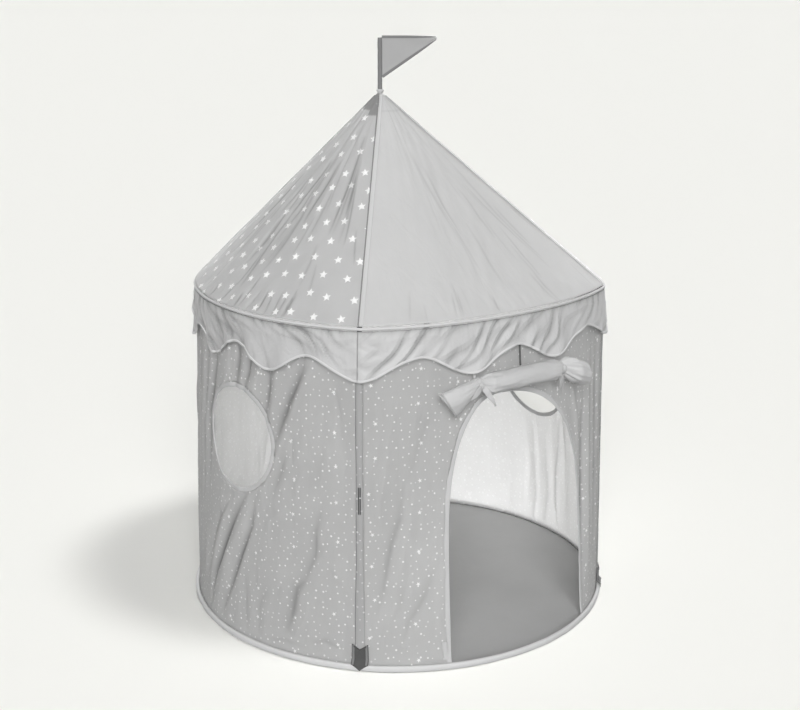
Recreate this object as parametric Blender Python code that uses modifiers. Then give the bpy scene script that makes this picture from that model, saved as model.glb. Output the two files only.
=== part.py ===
"""A children's play tent: a round cloth wall under a cone roof, on four folding poles.

Metres, +Z up. The origin is on the floor, on the tent's axis, and the door faces -Y. Each pole
folds inwards at a knee at half its height, so the ring and the roof sink straight down.
"""

import math

import bmesh
import bpy
from mathutils import Matrix, Vector

OBJECT = "kids_play_tent"

# Driving sizes
# The wall is a little narrower at its ring than at the floor
TENT_RADIUS = 0.500
RING_TAPER = 0.015
RING_HEIGHT = 0.768
APEX_HEIGHT = 1.206
APEX_LEAN = Vector((-0.0335, 0.0239, 0.0))
CLOTH = 0.0012
GAP = 0.0003
OVERRUN = 0.004
WELD = 1e-6

# The poles stand at the corners of a square, and each panel runs from one pole to the next
CORNERS = {"front_left": -135.0, "front_right": -45.0, "back_right": 45.0, "back_left": 135.0}
PANELS = {"door": -135.0, "right": -45.0, "back": 45.0, "left": 135.0}
PANEL_SPAN = 90.0
# How far the hoop is drawn in half way between two poles, as a share of the ring's radius
PANEL_DIP_SHARES = {"door": 0.124, "right": 0.03, "back": 0.03, "left": 0.0312}
SCALLOPS = {"door": 3, "right": 4, "back": 4, "left": 4}

# Floor and hem
MAT_THICKNESS = 0.002
HEM_WIDTH = 0.0090
HEM_HEIGHT = 0.0175
HEM_WALL = 0.0016
HEM_MOUTH = 0.006
HEM_CLEARANCE = 0.0010
HOOP_WIRE_RADIUS = 0.0022

# Poles
POLE_INSET = 0.007
ROD_RADIUS = 0.004
FITTING_RADIUS = 0.0055
SOCKET_CLEARANCE = 0.0003
SOCKET_DEPTH = 0.0142
FOOT_CAP_RADIUS = 0.006
FOOT_CAP_HEIGHT = 0.028
KNEE_HALF_LENGTH = 0.033
KNEE_SHOULDER = 0.0165
KNEE_CHEEK = 0.010
TONGUE_HALF_WIDTH = 0.005
TONGUE_THICKNESS = 0.004
TONGUE_CLEARANCE = 0.0003
PIN_RADIUS = 0.0015
PIN_CLEARANCE = 0.0004
PIN_REACH = 0.001
TOP_PIVOT_DROP = 0.016
TOP_EYE_LENGTH = 0.030
TOP_EYE_SHOULDER = 0.0105
TOP_CHEEK = 0.0055
TOP_SLOT_ROOF = 0.0062
TOP_BODY_RISE = 0.0062

# Pole sleeves and foot pockets
SLEEVE_RADIUS = 0.0068
SLEEVE_WALL = 0.0008
SLEEVE_FOOT = 0.040
SLEEVE_HEADROOM = 0.0085
CORNER_FLAT = 0.0075
POCKET_WIDTH = 0.036
POCKET_HEIGHT = 0.062
POCKET_NOTCH = 0.010
POCKET_LIFT = 0.003
POCKET_RIB = 0.0016
POCKET_STEP = 0.010

# Wall cloth
WALL_SEAM = 0.0003
WALL_FOLD_DEPTH = 0.003
WALL_FOLDS = 5
WINDOW_RADIUS = 0.1225
WINDOW_DROPS = {"left": 0.290, "right": 0.319}
WINDOW_ANGLES = {"left": 185.8, "right": 3.4}
DOOR_LEFT = 0.186
DOOR_RIGHT = 0.213
DOOR_HEADROOM = 0.158
DOOR_RISE = 0.310
DOOR_CROWN_OFFSET = -0.040
DOOR_ROUNDNESS = 2.2

# Hoop, piping and valance at the ring
HOOP_OUTSET = 0.0035
PIPING_RADIUS = 0.0046
PIPING_WALL = 0.0018
PIPING_MOUTH = 0.0036
WALL_TOP_DROP = 0.0058
VALANCE_TOP_DROP = 0.0052
VALANCE_OUTSET = 0.0012
VALANCE_LOW = 0.112
VALANCE_HIGH = 0.066
VALANCE_FLARE = 0.006
VALANCE_FOLD_DEPTH = 0.0035
VALANCE_FOLDS = 9

# Roof
ROOF_HOLE_RADIUS = 0.0068
ROOF_SEAM = 0.0004
ROOF_SAG = 0.012
ROOF_POLE_CLEARANCE = 0.0006
ROOF_POLE_SOCKET_RADIUS = 0.006
ROOF_SOCKET_LENGTH = 0.031
ROOF_SOCKET_START = 0.006
HUB_SOCKET_LENGTH = 0.026
HUB_SOCKET_END = 0.012
FERRULE_RADIUS = 0.005
FERRULE_LENGTH = 0.060
HUB_RADIUS = 0.0165
HUB_HEIGHT = 0.026
HUB_DROP = 0.0115
HUB_SOCKET_WALL = 0.0018
STICK_SEAT_DEPTH = 0.020

# Flag
STICK_RADIUS = 0.003
STICK_CLEARANCE = 0.0004
FLAG_SLEEVE_RADIUS = 0.0052
FLAG_SLEEVE_LENGTH = 0.1245
FLAG_LENGTH = 0.125
FLAG_DEPTH = 0.086
FLAG_CLOTH = 0.0010
FLAG_WAVE = 0.004
FLAG_AZIMUTH = -35.5
FLAG_LIFT = 0.0012
FLAG_JOIN_SHARE = 0.8
FLAG_TIP_SHARE = 0.015

# Rolled-up door and its two ties
ROLL_LEFT = -0.212
ROLL_RIGHT = 0.200
KNOT_LEFT = -0.121
KNOT_RIGHT = 0.123
ROLL_RADIUS = 0.0225
NECK_RADIUS = 0.0125
END_RADIUS = 0.030
KNOT_DROP = 0.0085
ROLL_END_DROP = 0.036
KNOT_LENGTH = 0.030
TIE_WIDTH = 0.009
TAPE_WIDTH = 0.007
TIE_THICKNESS = 0.0014
TIE_TAIL = 0.034
TAIL_SEAT_SHARE = 0.85
TAIL_SPREAD_SHARE = 0.35
TAIL_LAP_SHARE = 0.25
PATH_STEP_SHARE = 0.01

# Counts of facets
RING_STEPS = 64
ROD_SIDES = 12

RING_RADIUS = TENT_RADIUS - RING_TAPER
HOOP_RADIUS = RING_RADIUS + HOOP_OUTSET
ROOF_FOOT_RISE = PIPING_RADIUS + CLOTH + GAP
POLE_RADIUS = RING_RADIUS - POLE_INSET
BORE_RADIUS = ROD_RADIUS + SOCKET_CLEARANCE
FOOT_PIVOT = MAT_THICKNESS + GAP + FOOT_CAP_RADIUS
TOP_PIVOT = RING_HEIGHT - TOP_PIVOT_DROP
ROLL_CLEARANCE = TIE_THICKNESS + 3 * GAP
KNOT_FLAT = TIE_WIDTH / 2 + 4 * GAP
KNEE_PIVOT = (FOOT_PIVOT + TOP_PIVOT) / 2
LINK = KNEE_PIVOT - FOOT_PIVOT
DOOR_CROWN = RING_HEIGHT - DOOR_HEADROOM
DOOR_SPRING = DOOR_CROWN - DOOR_RISE
ROLL_HEIGHT = RING_HEIGHT - VALANCE_LOW - KNOT_DROP - NECK_RADIUS
APEX = Vector((0.0, 0.0, APEX_HEIGHT)) + APEX_LEAN
PIECES = None
TOOLS = None
MATERIALS = {}


def clear_scene():
    for obj in list(bpy.data.objects):
        bpy.data.objects.remove(obj)


def new_collection(name):
    made = bpy.data.collections.new(name)
    bpy.context.scene.collection.children.link(made)
    return made


def finish_of(name, colour, roughness, metallic=0.0):
    """A Principled material, kept by name."""
    made = bpy.data.materials.new(name)
    made.use_nodes = True
    shader = made.node_tree.nodes["Principled BSDF"]
    shader.inputs["Base Color"].default_value = (*colour, 1.0)
    shader.inputs["Roughness"].default_value = roughness
    shader.inputs["Metallic"].default_value = metallic
    made.diffuse_color = (*colour, 1.0)
    MATERIALS[name] = made


def make_finishes():
    finish_of("dotted_wall_cloth", (0.45, 0.45, 0.45), 0.85)
    finish_of("star_roof_cloth", (0.52, 0.52, 0.52), 0.85)
    finish_of("plain_roof_cloth", (0.66, 0.66, 0.66), 0.85)
    finish_of("satin_cloth", (0.62, 0.62, 0.62), 0.5)
    finish_of("binding_tape", (0.70, 0.70, 0.69), 0.8)
    finish_of("floor_cloth", (0.33, 0.33, 0.33), 0.8)
    finish_of("dark_pocket_cloth", (0.10, 0.10, 0.10), 0.85)
    finish_of("flag_cloth", (0.42, 0.42, 0.42), 0.85)
    finish_of("spring_steel", (0.45, 0.45, 0.46), 0.35, 1.0)
    finish_of("glass_fibre_rod", (0.62, 0.62, 0.60), 0.4)
    finish_of("black_plastic", (0.03, 0.03, 0.03), 0.45)


def new_object(name, mesh, material, home=None):
    obj = bpy.data.objects.new(name, mesh)
    (home or PIECES).objects.link(obj)
    if not mesh.materials:
        mesh.materials.append(MATERIALS[material])
    return obj


def smooth(obj, angle=40.0):
    obj.data.shade_smooth()
    obj.data.set_sharp_from_angle(angle=math.radians(angle))


def mesh_from(name, bm):
    mesh = bpy.data.meshes.new(name)
    bm.to_mesh(mesh)
    bm.free()
    return mesh


def baked(obj):
    """The object's evaluated mesh. The object itself is removed, so that copies can share the mesh."""
    graph = bpy.context.evaluated_depsgraph_get()
    mesh = bpy.data.meshes.new_from_object(obj.evaluated_get(graph))
    bpy.data.objects.remove(obj)
    return mesh


def boolean(obj, other, operation):
    other.hide_render = True
    other.display_type = "WIRE"
    step = obj.modifiers.new(f"{operation.lower()}_{other.name}", "BOOLEAN")
    step.operation = operation
    step.object = other
    step.solver = "EXACT"
    return obj


def cut(obj, *others):
    for other in others:
        boolean(obj, other, "DIFFERENCE")
    return obj


def join(obj, *others):
    for other in others:
        boolean(obj, other, "UNION")
    return obj


def tool(name, mesh, matrix=None):
    """A cutter, or a shape that is joined into a piece: it is no piece by itself."""
    obj = new_object(name, mesh, "black_plastic", TOOLS)
    if matrix is not None:
        obj.matrix_world = matrix
    return obj


def cylinder(name, radius, low, high, sides=ROD_SIDES, around=None):
    """A closed cylinder from low to high along Z, or along the axis that the matrix around turns Z to."""
    bm = bmesh.new()
    middle = Matrix.Translation((0, 0, (low + high) / 2))
    bmesh.ops.create_cone(
        bm, cap_ends=True, segments=sides, radius1=radius, radius2=radius, depth=high - low, matrix=middle
    )
    if around is not None:
        bmesh.ops.transform(bm, matrix=around, verts=bm.verts)
    return mesh_from(name, bm)


def box(name, low, high):
    bm = bmesh.new()
    size = [b - a for a, b in zip(low, high)]
    place = Matrix.Translation([(a + b) / 2 for a, b in zip(low, high)])
    bmesh.ops.create_cube(bm, size=1.0, matrix=place @ Matrix.Diagonal((*size, 1.0)))
    return mesh_from(name, bm)


def turned(name, profile, steps):
    """A mesh whose profile of (radius, height) points a Screw modifier turns about Z."""
    mesh = bpy.data.meshes.new(name)
    ends = [(i, i + 1) for i in range(len(profile) - 1)]
    mesh.from_pydata([(r, 0.0, z) for r, z in profile], ends, [])
    obj = tool(name + "_profile", mesh)
    screw = obj.modifiers.new("turn", "SCREW")
    screw.steps = screw.render_steps = steps
    screw.use_merge_vertices = True
    screw.merge_threshold = WELD * 10
    return baked(obj)


def wrapped(name, place, columns, rows, around=False, along=False, caps=False):
    """A grid whose points place(u, v) moves. Edges that meet are welded, and open ends can be capped."""
    bm = bmesh.new()
    bmesh.ops.create_grid(bm, x_segments=columns, y_segments=rows, size=0.5)
    for vertex in bm.verts:
        vertex.co = place(vertex.co.x + 0.5, vertex.co.y + 0.5)
    if around or along:
        bmesh.ops.remove_doubles(bm, verts=bm.verts, dist=WELD)
    if caps:
        bmesh.ops.holes_fill(bm, edges=bm.edges)
    if around and (along or caps):
        bmesh.ops.recalc_face_normals(bm, faces=bm.faces)
    return mesh_from(name, bm)


def thicken(obj, thickness, offset=-1.0):
    shell = obj.modifiers.new("thickness", "SOLIDIFY")
    shell.thickness = thickness
    shell.offset = offset
    shell.use_even_offset = True
    return obj


def empty(name, matrix, parent=None):
    obj = bpy.data.objects.new(name, None)
    PIECES.objects.link(obj)
    obj.parent = parent
    obj.matrix_local = matrix
    return obj


def piece(name, mesh, material, parent=None, place=None):
    """A named piece of the tent, placed in its parent's frame."""
    obj = new_object(name, mesh, material)
    obj.parent = parent
    if place is not None:
        obj.matrix_local = place
    smooth(obj)
    return obj


def polar(radius, degrees, height):
    angle = math.radians(degrees)
    return Vector((radius * math.cos(angle), radius * math.sin(angle), height))


def turn_z(degrees):
    return Matrix.Rotation(math.radians(degrees), 4, "Z")


def panel_share(degrees):
    """The panel that a direction lies in, and how far across it, from 0 at one pole to 1 at the next."""
    for name, start in PANELS.items():
        share = ((degrees - start) % 360.0) / PANEL_SPAN
        if share < 1.0:
            return name, share
    raise ValueError(degrees)


def dip(degrees):
    """How far the hoop is drawn in there, as a share of the ring's radius. It is round at the poles."""
    name, share = panel_share(degrees)
    flat = CORNER_FLAT / (TENT_RADIUS * math.radians(PANEL_SPAN))
    inside = min(max((share - flat) / (1 - 2 * flat), 0.0), 1.0)
    return PANEL_DIP_SHARES[name] * math.sin(math.pi * inside)


def wall_radius(degrees, height):
    """The outer face of the wall cloth without its folds: round at the floor, drawn in at the ring."""
    share = height / RING_HEIGHT
    straight = TENT_RADIUS - RING_TAPER * share
    return straight * (1.0 - dip(degrees) * share)


def hoop_radius(degrees):
    return wall_radius(degrees, RING_HEIGHT) + HOOP_OUTSET


def even_angles():
    return [360.0 * i / RING_STEPS for i in range(RING_STEPS)]


def hoop_angles():
    """Directions round the ring, with one at both sides of each pole, where the hoop starts to bend."""
    flat = math.degrees(CORNER_FLAT / TENT_RADIUS)
    steps = RING_STEPS // len(PANELS) - 1
    angles = []
    for start in PANELS.values():
        bend = [start + flat + (PANEL_SPAN - 2 * flat) * i / steps for i in range(steps + 1)]
        angles += [start, *bend]
    return angles


def ring_section(path_radius, height, section, angles):
    """place(u, v) for a closed section of (outwards, upwards) points that runs round the tent."""

    def place(u, v):
        degrees = angles[round(u * len(angles)) % len(angles)]
        out, up = section[round(v * len(section)) % len(section)]
        return polar(path_radius(degrees) + out, degrees, height + up)

    return place


def round_section(radius, sides):
    turns = [2 * math.pi * i / sides for i in range(sides)]
    return [(radius * math.cos(a), radius * math.sin(a)) for a in turns]


def c_section(outer, inner, mouth, sides):
    """A tube's section with a slit of the given width on its inner side."""
    outer_slit = math.asin(mouth / 2 / outer)
    inner_slit = math.asin(mouth / 2 / inner)
    points = []
    for i in range(sides + 1):
        a = -math.pi + outer_slit + (2 * math.pi - 2 * outer_slit) * i / sides
        points.append((outer * math.cos(a), outer * math.sin(a)))
    for i in range(sides + 1):
        a = math.pi - inner_slit - (2 * math.pi - 2 * inner_slit) * i / sides
        points.append((inner * math.cos(a), inner * math.sin(a)))
    return points


def make_floor():
    """The mat, the bottom hoop, and the bound hem that holds both."""
    hem_inner = TENT_RADIUS + HEM_CLEARANCE
    hem_outer = hem_inner + HEM_WIDTH
    middle = HEM_HEIGHT / 2
    low, high = middle - HEM_MOUTH / 2, middle + HEM_MOUTH / 2
    hem = [
        (hem_inner, HEM_HEIGHT),
        (hem_outer - HEM_WALL, HEM_HEIGHT),
        (hem_outer, HEM_HEIGHT - HEM_WALL),
        (hem_outer, HEM_WALL),
        (hem_outer - HEM_WALL, 0.0),
        (hem_inner, 0.0),
        (hem_inner, low),
        (hem_inner + HEM_WALL, low),
        (hem_inner + HEM_WALL, HEM_WALL),
        (hem_outer - HEM_WALL, HEM_WALL),
        (hem_outer - HEM_WALL, HEM_HEIGHT - HEM_WALL),
        (hem_inner + HEM_WALL, HEM_HEIGHT - HEM_WALL),
        (hem_inner + HEM_WALL, high),
        (hem_inner, high),
    ]
    hem = [(out - hem_inner, up) for out, up in hem]
    angles = even_angles()
    place = ring_section(lambda a: hem_inner, 0.0, hem, angles)
    mesh = wrapped("hem_binding", place, len(angles), len(hem), True, True)
    piece("hem_binding", mesh, "binding_tape")
    centre = hem_inner + HEM_WIDTH / 2
    wire = round_section(HOOP_WIRE_RADIUS, 6)
    place = ring_section(lambda a: centre, middle, wire, angles)
    mesh = wrapped("bottom_hoop", place, len(angles), len(wire), True, True)
    piece("bottom_hoop", mesh, "spring_steel")
    mat = cylinder("floor_mat", hem_inner - GAP, 0.0, MAT_THICKNESS, RING_STEPS)
    piece("floor_mat", mat, "floor_cloth")


def make_ring():
    """The top hoop and the light piping that is sewn round it."""
    wire = round_section(HOOP_WIRE_RADIUS, 6)
    angles = hoop_angles()
    place = ring_section(hoop_radius, RING_HEIGHT, wire, angles)
    mesh = wrapped("top_hoop", place, len(angles), len(wire), True, True)
    piece("top_hoop", mesh, "spring_steel")
    tube = c_section(PIPING_RADIUS, PIPING_RADIUS - PIPING_WALL, PIPING_MOUTH, 5)
    place = ring_section(hoop_radius, RING_HEIGHT, tube, angles)
    mesh = wrapped("top_piping", place, len(angles), len(tube), True, True)
    piece("top_piping", mesh, "binding_tape")


def wall_surface(panel, u, v):
    """The outer face of one wall panel, with its soft upright folds."""
    low = MAT_THICKNESS + GAP
    high = RING_HEIGHT - WALL_TOP_DROP
    height = low + (high - low) * v
    behind = min(wall_radius(PANELS[panel], height) - CLOTH - POLE_RADIUS, SLEEVE_RADIUS + GAP)
    beside = max(math.sqrt((SLEEVE_RADIUS + GAP) ** 2 - behind**2), WALL_SEAM)
    seam = math.degrees(beside / TENT_RADIUS)
    degrees = PANELS[panel] + seam + (PANEL_SPAN - 2 * seam) * u
    ease = math.sin(math.pi * u) * math.sin(math.pi * v)
    fold = WALL_FOLD_DEPTH * ease * (0.5 - 0.5 * math.cos(2 * math.pi * WALL_FOLDS * u))
    return polar(wall_radius(degrees, height) - fold, degrees, height)


def door_outline():
    """The door's arch seen from in front, as (across, height) points from its left foot to its right."""
    points = []
    for side, reach in ((-1.0, DOOR_LEFT + DOOR_CROWN_OFFSET), (1.0, DOOR_RIGHT - DOOR_CROWN_OFFSET)):
        arc = []
        for i in range(9):
            a = math.pi / 2 * i / 8
            out = math.cos(a) ** (2 / DOOR_ROUNDNESS)
            up = math.sin(a) ** (2 / DOOR_ROUNDNESS)
            across = DOOR_CROWN_OFFSET + side * reach * out
            arc.append((across, DOOR_SPRING + (DOOR_CROWN - DOOR_SPRING) * up))
        points += arc if side < 0 else arc[-2::-1]
    return [(-DOOR_LEFT, -OVERRUN), *points, (DOOR_RIGHT, -OVERRUN)]


def door_cutter():
    """The arch as a flat outline, extruded from the tent's middle to past its front."""
    curve = bpy.data.curves.new("door_arch", "CURVE")
    curve.dimensions = "2D"
    curve.fill_mode = "BOTH"
    curve.extrude = TENT_RADIUS / 2
    outline = door_outline()
    spline = curve.splines.new("POLY")
    spline.points.add(len(outline) - 1)
    for point, (across, height) in zip(spline.points, outline):
        point.co = (across, height, 0.0, 1.0)
    spline.use_cyclic_u = True
    guide = bpy.data.objects.new("door_arch", curve)
    TOOLS.objects.link(guide)
    mesh = baked(guide)
    bm = bmesh.new()
    bm.from_mesh(mesh)
    bmesh.ops.remove_doubles(bm, verts=bm.verts, dist=WELD)
    bmesh.ops.recalc_face_normals(bm, faces=bm.faces)
    bm.to_mesh(mesh)
    bm.free()
    upright = Matrix.Rotation(math.radians(90.0), 4, "X")
    middle = Matrix.Translation((0.0, -TENT_RADIUS, 0.0))
    return tool("door_cutter", mesh, middle @ upright)


def window_cutter(panel):
    reach = TENT_RADIUS / 4
    level = Matrix.Rotation(math.radians(90.0), 4, "Y")
    mesh = cylinder(f"{panel}_window", WINDOW_RADIUS, -reach, reach, 28, level)
    angle = WINDOW_ANGLES[panel]
    height = RING_HEIGHT - WINDOW_DROPS[panel]
    place = Matrix.Translation(polar(TENT_RADIUS, angle, height)) @ turn_z(angle)
    return tool(f"{panel}_window_cutter", mesh, place)


def make_walls():
    """Four panels of dotted cloth, with the door's arch and two round windows cut out."""
    for panel in PANELS:
        name = f"wall_{panel}"
        mesh = wrapped(name, lambda u, v, p=panel: wall_surface(p, u, v), 24, 5)
        wall = thicken(piece(name, mesh, "dotted_wall_cloth"), CLOTH)
        if panel == "door":
            cut(wall, door_cutter())
        if panel in WINDOW_ANGLES:
            cut(wall, window_cutter(panel))


def make_sleeves():
    """A cloth tube at each seam between two wall panels, for the pole to stand in."""
    for corner, angle in CORNERS.items():
        low, high = SLEEVE_FOOT, RING_HEIGHT - SLEEVE_HEADROOM - TOP_PIVOT_DROP
        place = lambda u, v: polar(SLEEVE_RADIUS, u * 360.0, low + (high - low) * v)
        mesh = wrapped(f"pole_sleeve_{corner}", place, 14, 1, True)
        sleeve = piece(f"pole_sleeve_{corner}", mesh, "dotted_wall_cloth")
        sleeve.location = polar(POLE_RADIUS, angle, 0.0)
        thicken(sleeve, SLEEVE_WALL)


def pocket_surface(u, v):
    """The dark pocket over a pole's foot, in the frame of its corner: X outwards, Y across."""
    across = POCKET_WIDTH * (u - 0.5)
    centred = 1.0 - abs(2 * u - 1)
    top = POCKET_HEIGHT - POCKET_NOTCH * centred
    above_hem = HEM_HEIGHT + 2 * GAP
    over = above_hem + POCKET_STEP
    levels = [POCKET_LIFT, HEM_HEIGHT / 2, above_hem, (above_hem + over) / 2, over]
    levels += [over + (top - over) * i / 3 for i in range(1, 4)]
    height = levels[round(v * (len(levels) - 1))]
    hem_face = TENT_RADIUS + HEM_CLEARANCE + HEM_WIDTH + CLOTH + 2 * GAP
    wall_face = wall_radius(PANELS["door"], height) + CLOTH + 2 * GAP + POCKET_RIB * centred**2
    share = min(max((height - above_hem) / POCKET_STEP, 0.0), 1.0)
    radius = hem_face + (wall_face - hem_face) * share**2 * (3 - 2 * share)
    angle = across / radius
    return Vector((radius * math.cos(angle), radius * math.sin(angle), height))


def make_pockets():
    for corner, angle in CORNERS.items():
        mesh = wrapped(f"foot_pocket_{corner}", pocket_surface, 8, 7)
        pocket = piece(f"foot_pocket_{corner}", mesh, "dark_pocket_cloth", place=turn_z(angle))
        thicken(pocket, CLOTH)


def foot_cap():
    """The round plastic end of a pole, which rocks on its own centre."""
    bore_floor = FOOT_CAP_HEIGHT - SOCKET_DEPTH
    profile = [
        (0.0, bore_floor),
        (BORE_RADIUS, bore_floor),
        (BORE_RADIUS, FOOT_CAP_HEIGHT),
        (FOOT_CAP_RADIUS, FOOT_CAP_HEIGHT),
        (FOOT_CAP_RADIUS, 0.0),
    ]
    for i in range(1, 4):
        a = math.pi / 2 * i / 3
        profile.append((FOOT_CAP_RADIUS * math.cos(a) * (i < 3), -FOOT_CAP_RADIUS * math.sin(a)))
    return turned("foot_cap", profile, ROD_SIDES)


def cross(name, radius, low, high, sides=ROD_SIDES):
    """A cylinder along Y."""
    return tool(name, cylinder(name, radius, low, high, sides, Matrix.Rotation(math.radians(-90.0), 4, "X")))


def eye_fitting(name, shoulder, length):
    """A flat tongue with a round end and a pin hole at the origin, and a socket for a rod above it."""
    body = tool(name, cylinder(name, FITTING_RADIUS, shoulder, length))
    half = TONGUE_THICKNESS / 2
    low = (-TONGUE_HALF_WIDTH, -half, 0.0)
    high = (TONGUE_HALF_WIDTH, half, shoulder + TONGUE_THICKNESS / 4)
    join(body, tool(f"{name}_tongue", box(f"{name}_tongue", low, high)))
    join(body, cross(f"{name}_end", TONGUE_HALF_WIDTH, -half, half, 14))
    reach = half + OVERRUN
    cut(body, cross(f"{name}_hole", PIN_RADIUS + PIN_CLEARANCE, -reach, reach, 10))
    bore = cylinder(f"{name}_bore", BORE_RADIUS, length - SOCKET_DEPTH, length + OVERRUN)
    cut(body, tool(f"{name}_bore", bore))
    return baked(body)


def pin_bosses(name, target, cheek):
    """Two stubs that stand in from the cheeks of a fork, and snap into a tongue's hole."""
    inner = TONGUE_THICKNESS / 2 + TONGUE_CLEARANCE
    for side in (-1, 1):
        ends = sorted((side * (inner - PIN_REACH), side * cheek))
        join(target, cross(f"{name}_boss_{side + 1}", PIN_RADIUS, *ends, 8))


def knee_fork():
    """The lower half of a knee: a socket below, and two cheeks that hold the pin above."""
    body = tool("knee_fork", cylinder("knee_fork", FITTING_RADIUS, -KNEE_HALF_LENGTH, KNEE_CHEEK))
    slot = TONGUE_THICKNESS / 2 + TONGUE_CLEARANCE
    reach = FITTING_RADIUS + OVERRUN
    gap = box("knee_slot", (-reach, -slot, -KNEE_SHOULDER), (reach, slot, KNEE_CHEEK + OVERRUN))
    cut(body, tool("knee_slot", gap))
    bore_top = SOCKET_DEPTH - KNEE_HALF_LENGTH
    bore = cylinder("knee_bore", BORE_RADIUS, -KNEE_HALF_LENGTH - OVERRUN, bore_top)
    cut(body, tool("knee_bore", bore))
    pin_bosses("knee", body, (slot + FITTING_RADIUS) / 2)
    return baked(body)


def rod(name, low, high):
    return cylinder(name, ROD_RADIUS, low, high)


def ridge(angle):
    """The two ends of the roof's outer face above a pole, and the direction into the tent square to it."""
    low = polar(hoop_radius(angle), angle, RING_HEIGHT + ROOF_FOOT_RISE)
    high = APEX + polar(ROOF_HOLE_RADIUS, angle, 0.0)
    along = (high - low).normalized()
    across = along.cross(Vector((0, 0, 1))).normalized()
    inwards = across.cross(along).normalized()
    if inwards.z > 0:
        inwards = -inwards
    return low, high, along, inwards


def roof_pole_line(angle):
    """The ends of a roof pole's axis, from its socket at the ring to its socket at the hub."""
    low, high, along, inwards = ridge(angle)
    depth = CLOTH + ROOF_POLE_CLEARANCE + ROOF_POLE_SOCKET_RADIUS
    start = low + along * ROOF_SOCKET_START + inwards * depth
    end = high - along * HUB_SOCKET_END + inwards * depth
    return start, end


def aimed(start, direction):
    """A matrix that puts the origin at start and turns Z along the direction."""
    turn = direction.to_track_quat("Z", "Y").to_matrix().to_4x4()
    return Matrix.Translation(start) @ turn


def top_connector(corner, angle):
    """The corner fitting: a fork for the pole's eye, a nose behind the hoop and a socket for the roof pole."""
    name = f"top_connector_{corner}"
    place = Matrix.Translation(polar(POLE_RADIUS, angle, TOP_PIVOT)) @ turn_z(angle)
    body = tool(name, cylinder(name, FITTING_RADIUS, -TOP_CHEEK, TOP_PIVOT_DROP + TOP_BODY_RISE))
    slot = TONGUE_THICKNESS / 2 + TONGUE_CLEARANCE
    reach = FITTING_RADIUS + OVERRUN
    low = (-reach, -slot, -TOP_CHEEK - OVERRUN)
    cut(body, tool(f"{name}_slot", box(f"{name}_slot", low, (reach, slot, TOP_SLOT_ROOF))))
    pin_bosses(name, body, (slot + FITTING_RADIUS) / 2)
    nose_reach = hoop_radius(angle) - HOOP_WIRE_RADIUS - GAP - POLE_RADIUS
    nose_half = PIPING_MOUTH / 2 - GAP * 2
    nose_low = (0.0, -FITTING_RADIUS / 2, TOP_PIVOT_DROP - nose_half)
    nose_high = (nose_reach, FITTING_RADIUS / 2, TOP_PIVOT_DROP + nose_half)
    join(body, tool(f"{name}_nose", box(f"{name}_nose", nose_low, nose_high)))
    start, end = roof_pole_line(angle)
    along = (end - start).normalized()
    local = place.inverted() @ aimed(start, along)
    socket = cylinder(f"{name}_socket", ROOF_POLE_SOCKET_RADIUS, 0.0, ROOF_SOCKET_LENGTH)
    join(body, tool(f"{name}_socket", socket, local))
    mouth = ROOF_SOCKET_LENGTH - SOCKET_DEPTH
    bore = cylinder(f"{name}_bore", BORE_RADIUS, mouth, ROOF_SOCKET_LENGTH + OVERRUN)
    cut(body, tool(f"{name}_bore", bore, local))
    return baked(body), place


def make_poles():
    """The four folding poles: foot cap, rod, knee fork, knee tongue, rod and top eye."""
    cap, fork = foot_cap(), knee_fork()
    knee_eye = eye_fitting("knee_tongue", KNEE_SHOULDER, KNEE_HALF_LENGTH)
    top_eye = eye_fitting("top_eye", TOP_EYE_SHOULDER, TOP_EYE_LENGTH)
    seat = SOCKET_DEPTH - GAP
    lower = rod("lower_rod", FOOT_CAP_HEIGHT - seat, LINK - KNEE_HALF_LENGTH + seat)
    upper = rod("upper_rod", KNEE_HALF_LENGTH - seat, LINK - TOP_EYE_LENGTH + seat)
    upside_down = Matrix.Rotation(math.radians(180.0), 4, "X")
    lift = Matrix.Translation((0.0, 0.0, LINK))
    for corner, angle in CORNERS.items():
        ground = Matrix.Translation(polar(POLE_RADIUS, angle, FOOT_PIVOT)) @ turn_z(angle)
        foot = empty(f"foot_axis_{corner}", ground)
        knee = empty(f"knee_axis_{corner}", lift, foot)
        piece(f"foot_cap_{corner}", cap, "black_plastic", foot)
        piece(f"lower_rod_{corner}", lower, "glass_fibre_rod", foot)
        piece(f"knee_fork_{corner}", fork, "black_plastic", foot, lift)
        piece(f"knee_tongue_{corner}", knee_eye, "black_plastic", knee)
        piece(f"upper_rod_{corner}", upper, "glass_fibre_rod", knee)
        piece(f"top_eye_{corner}", top_eye, "black_plastic", knee, lift @ upside_down)


def roof_pole(length):
    """A glass-fibre rod in two lengths, with the metal ferrule that joins them."""
    middle = length / 2
    low, high = middle - FERRULE_LENGTH / 2, middle + FERRULE_LENGTH / 2
    profile = [
        (0.0, length),
        (ROD_RADIUS, length),
        (ROD_RADIUS, high),
        (FERRULE_RADIUS, high),
        (FERRULE_RADIUS, low),
        (ROD_RADIUS, low),
        (ROD_RADIUS, 0.0),
        (0.0, 0.0),
    ]
    return turned("roof_pole", profile, ROD_SIDES)


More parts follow.
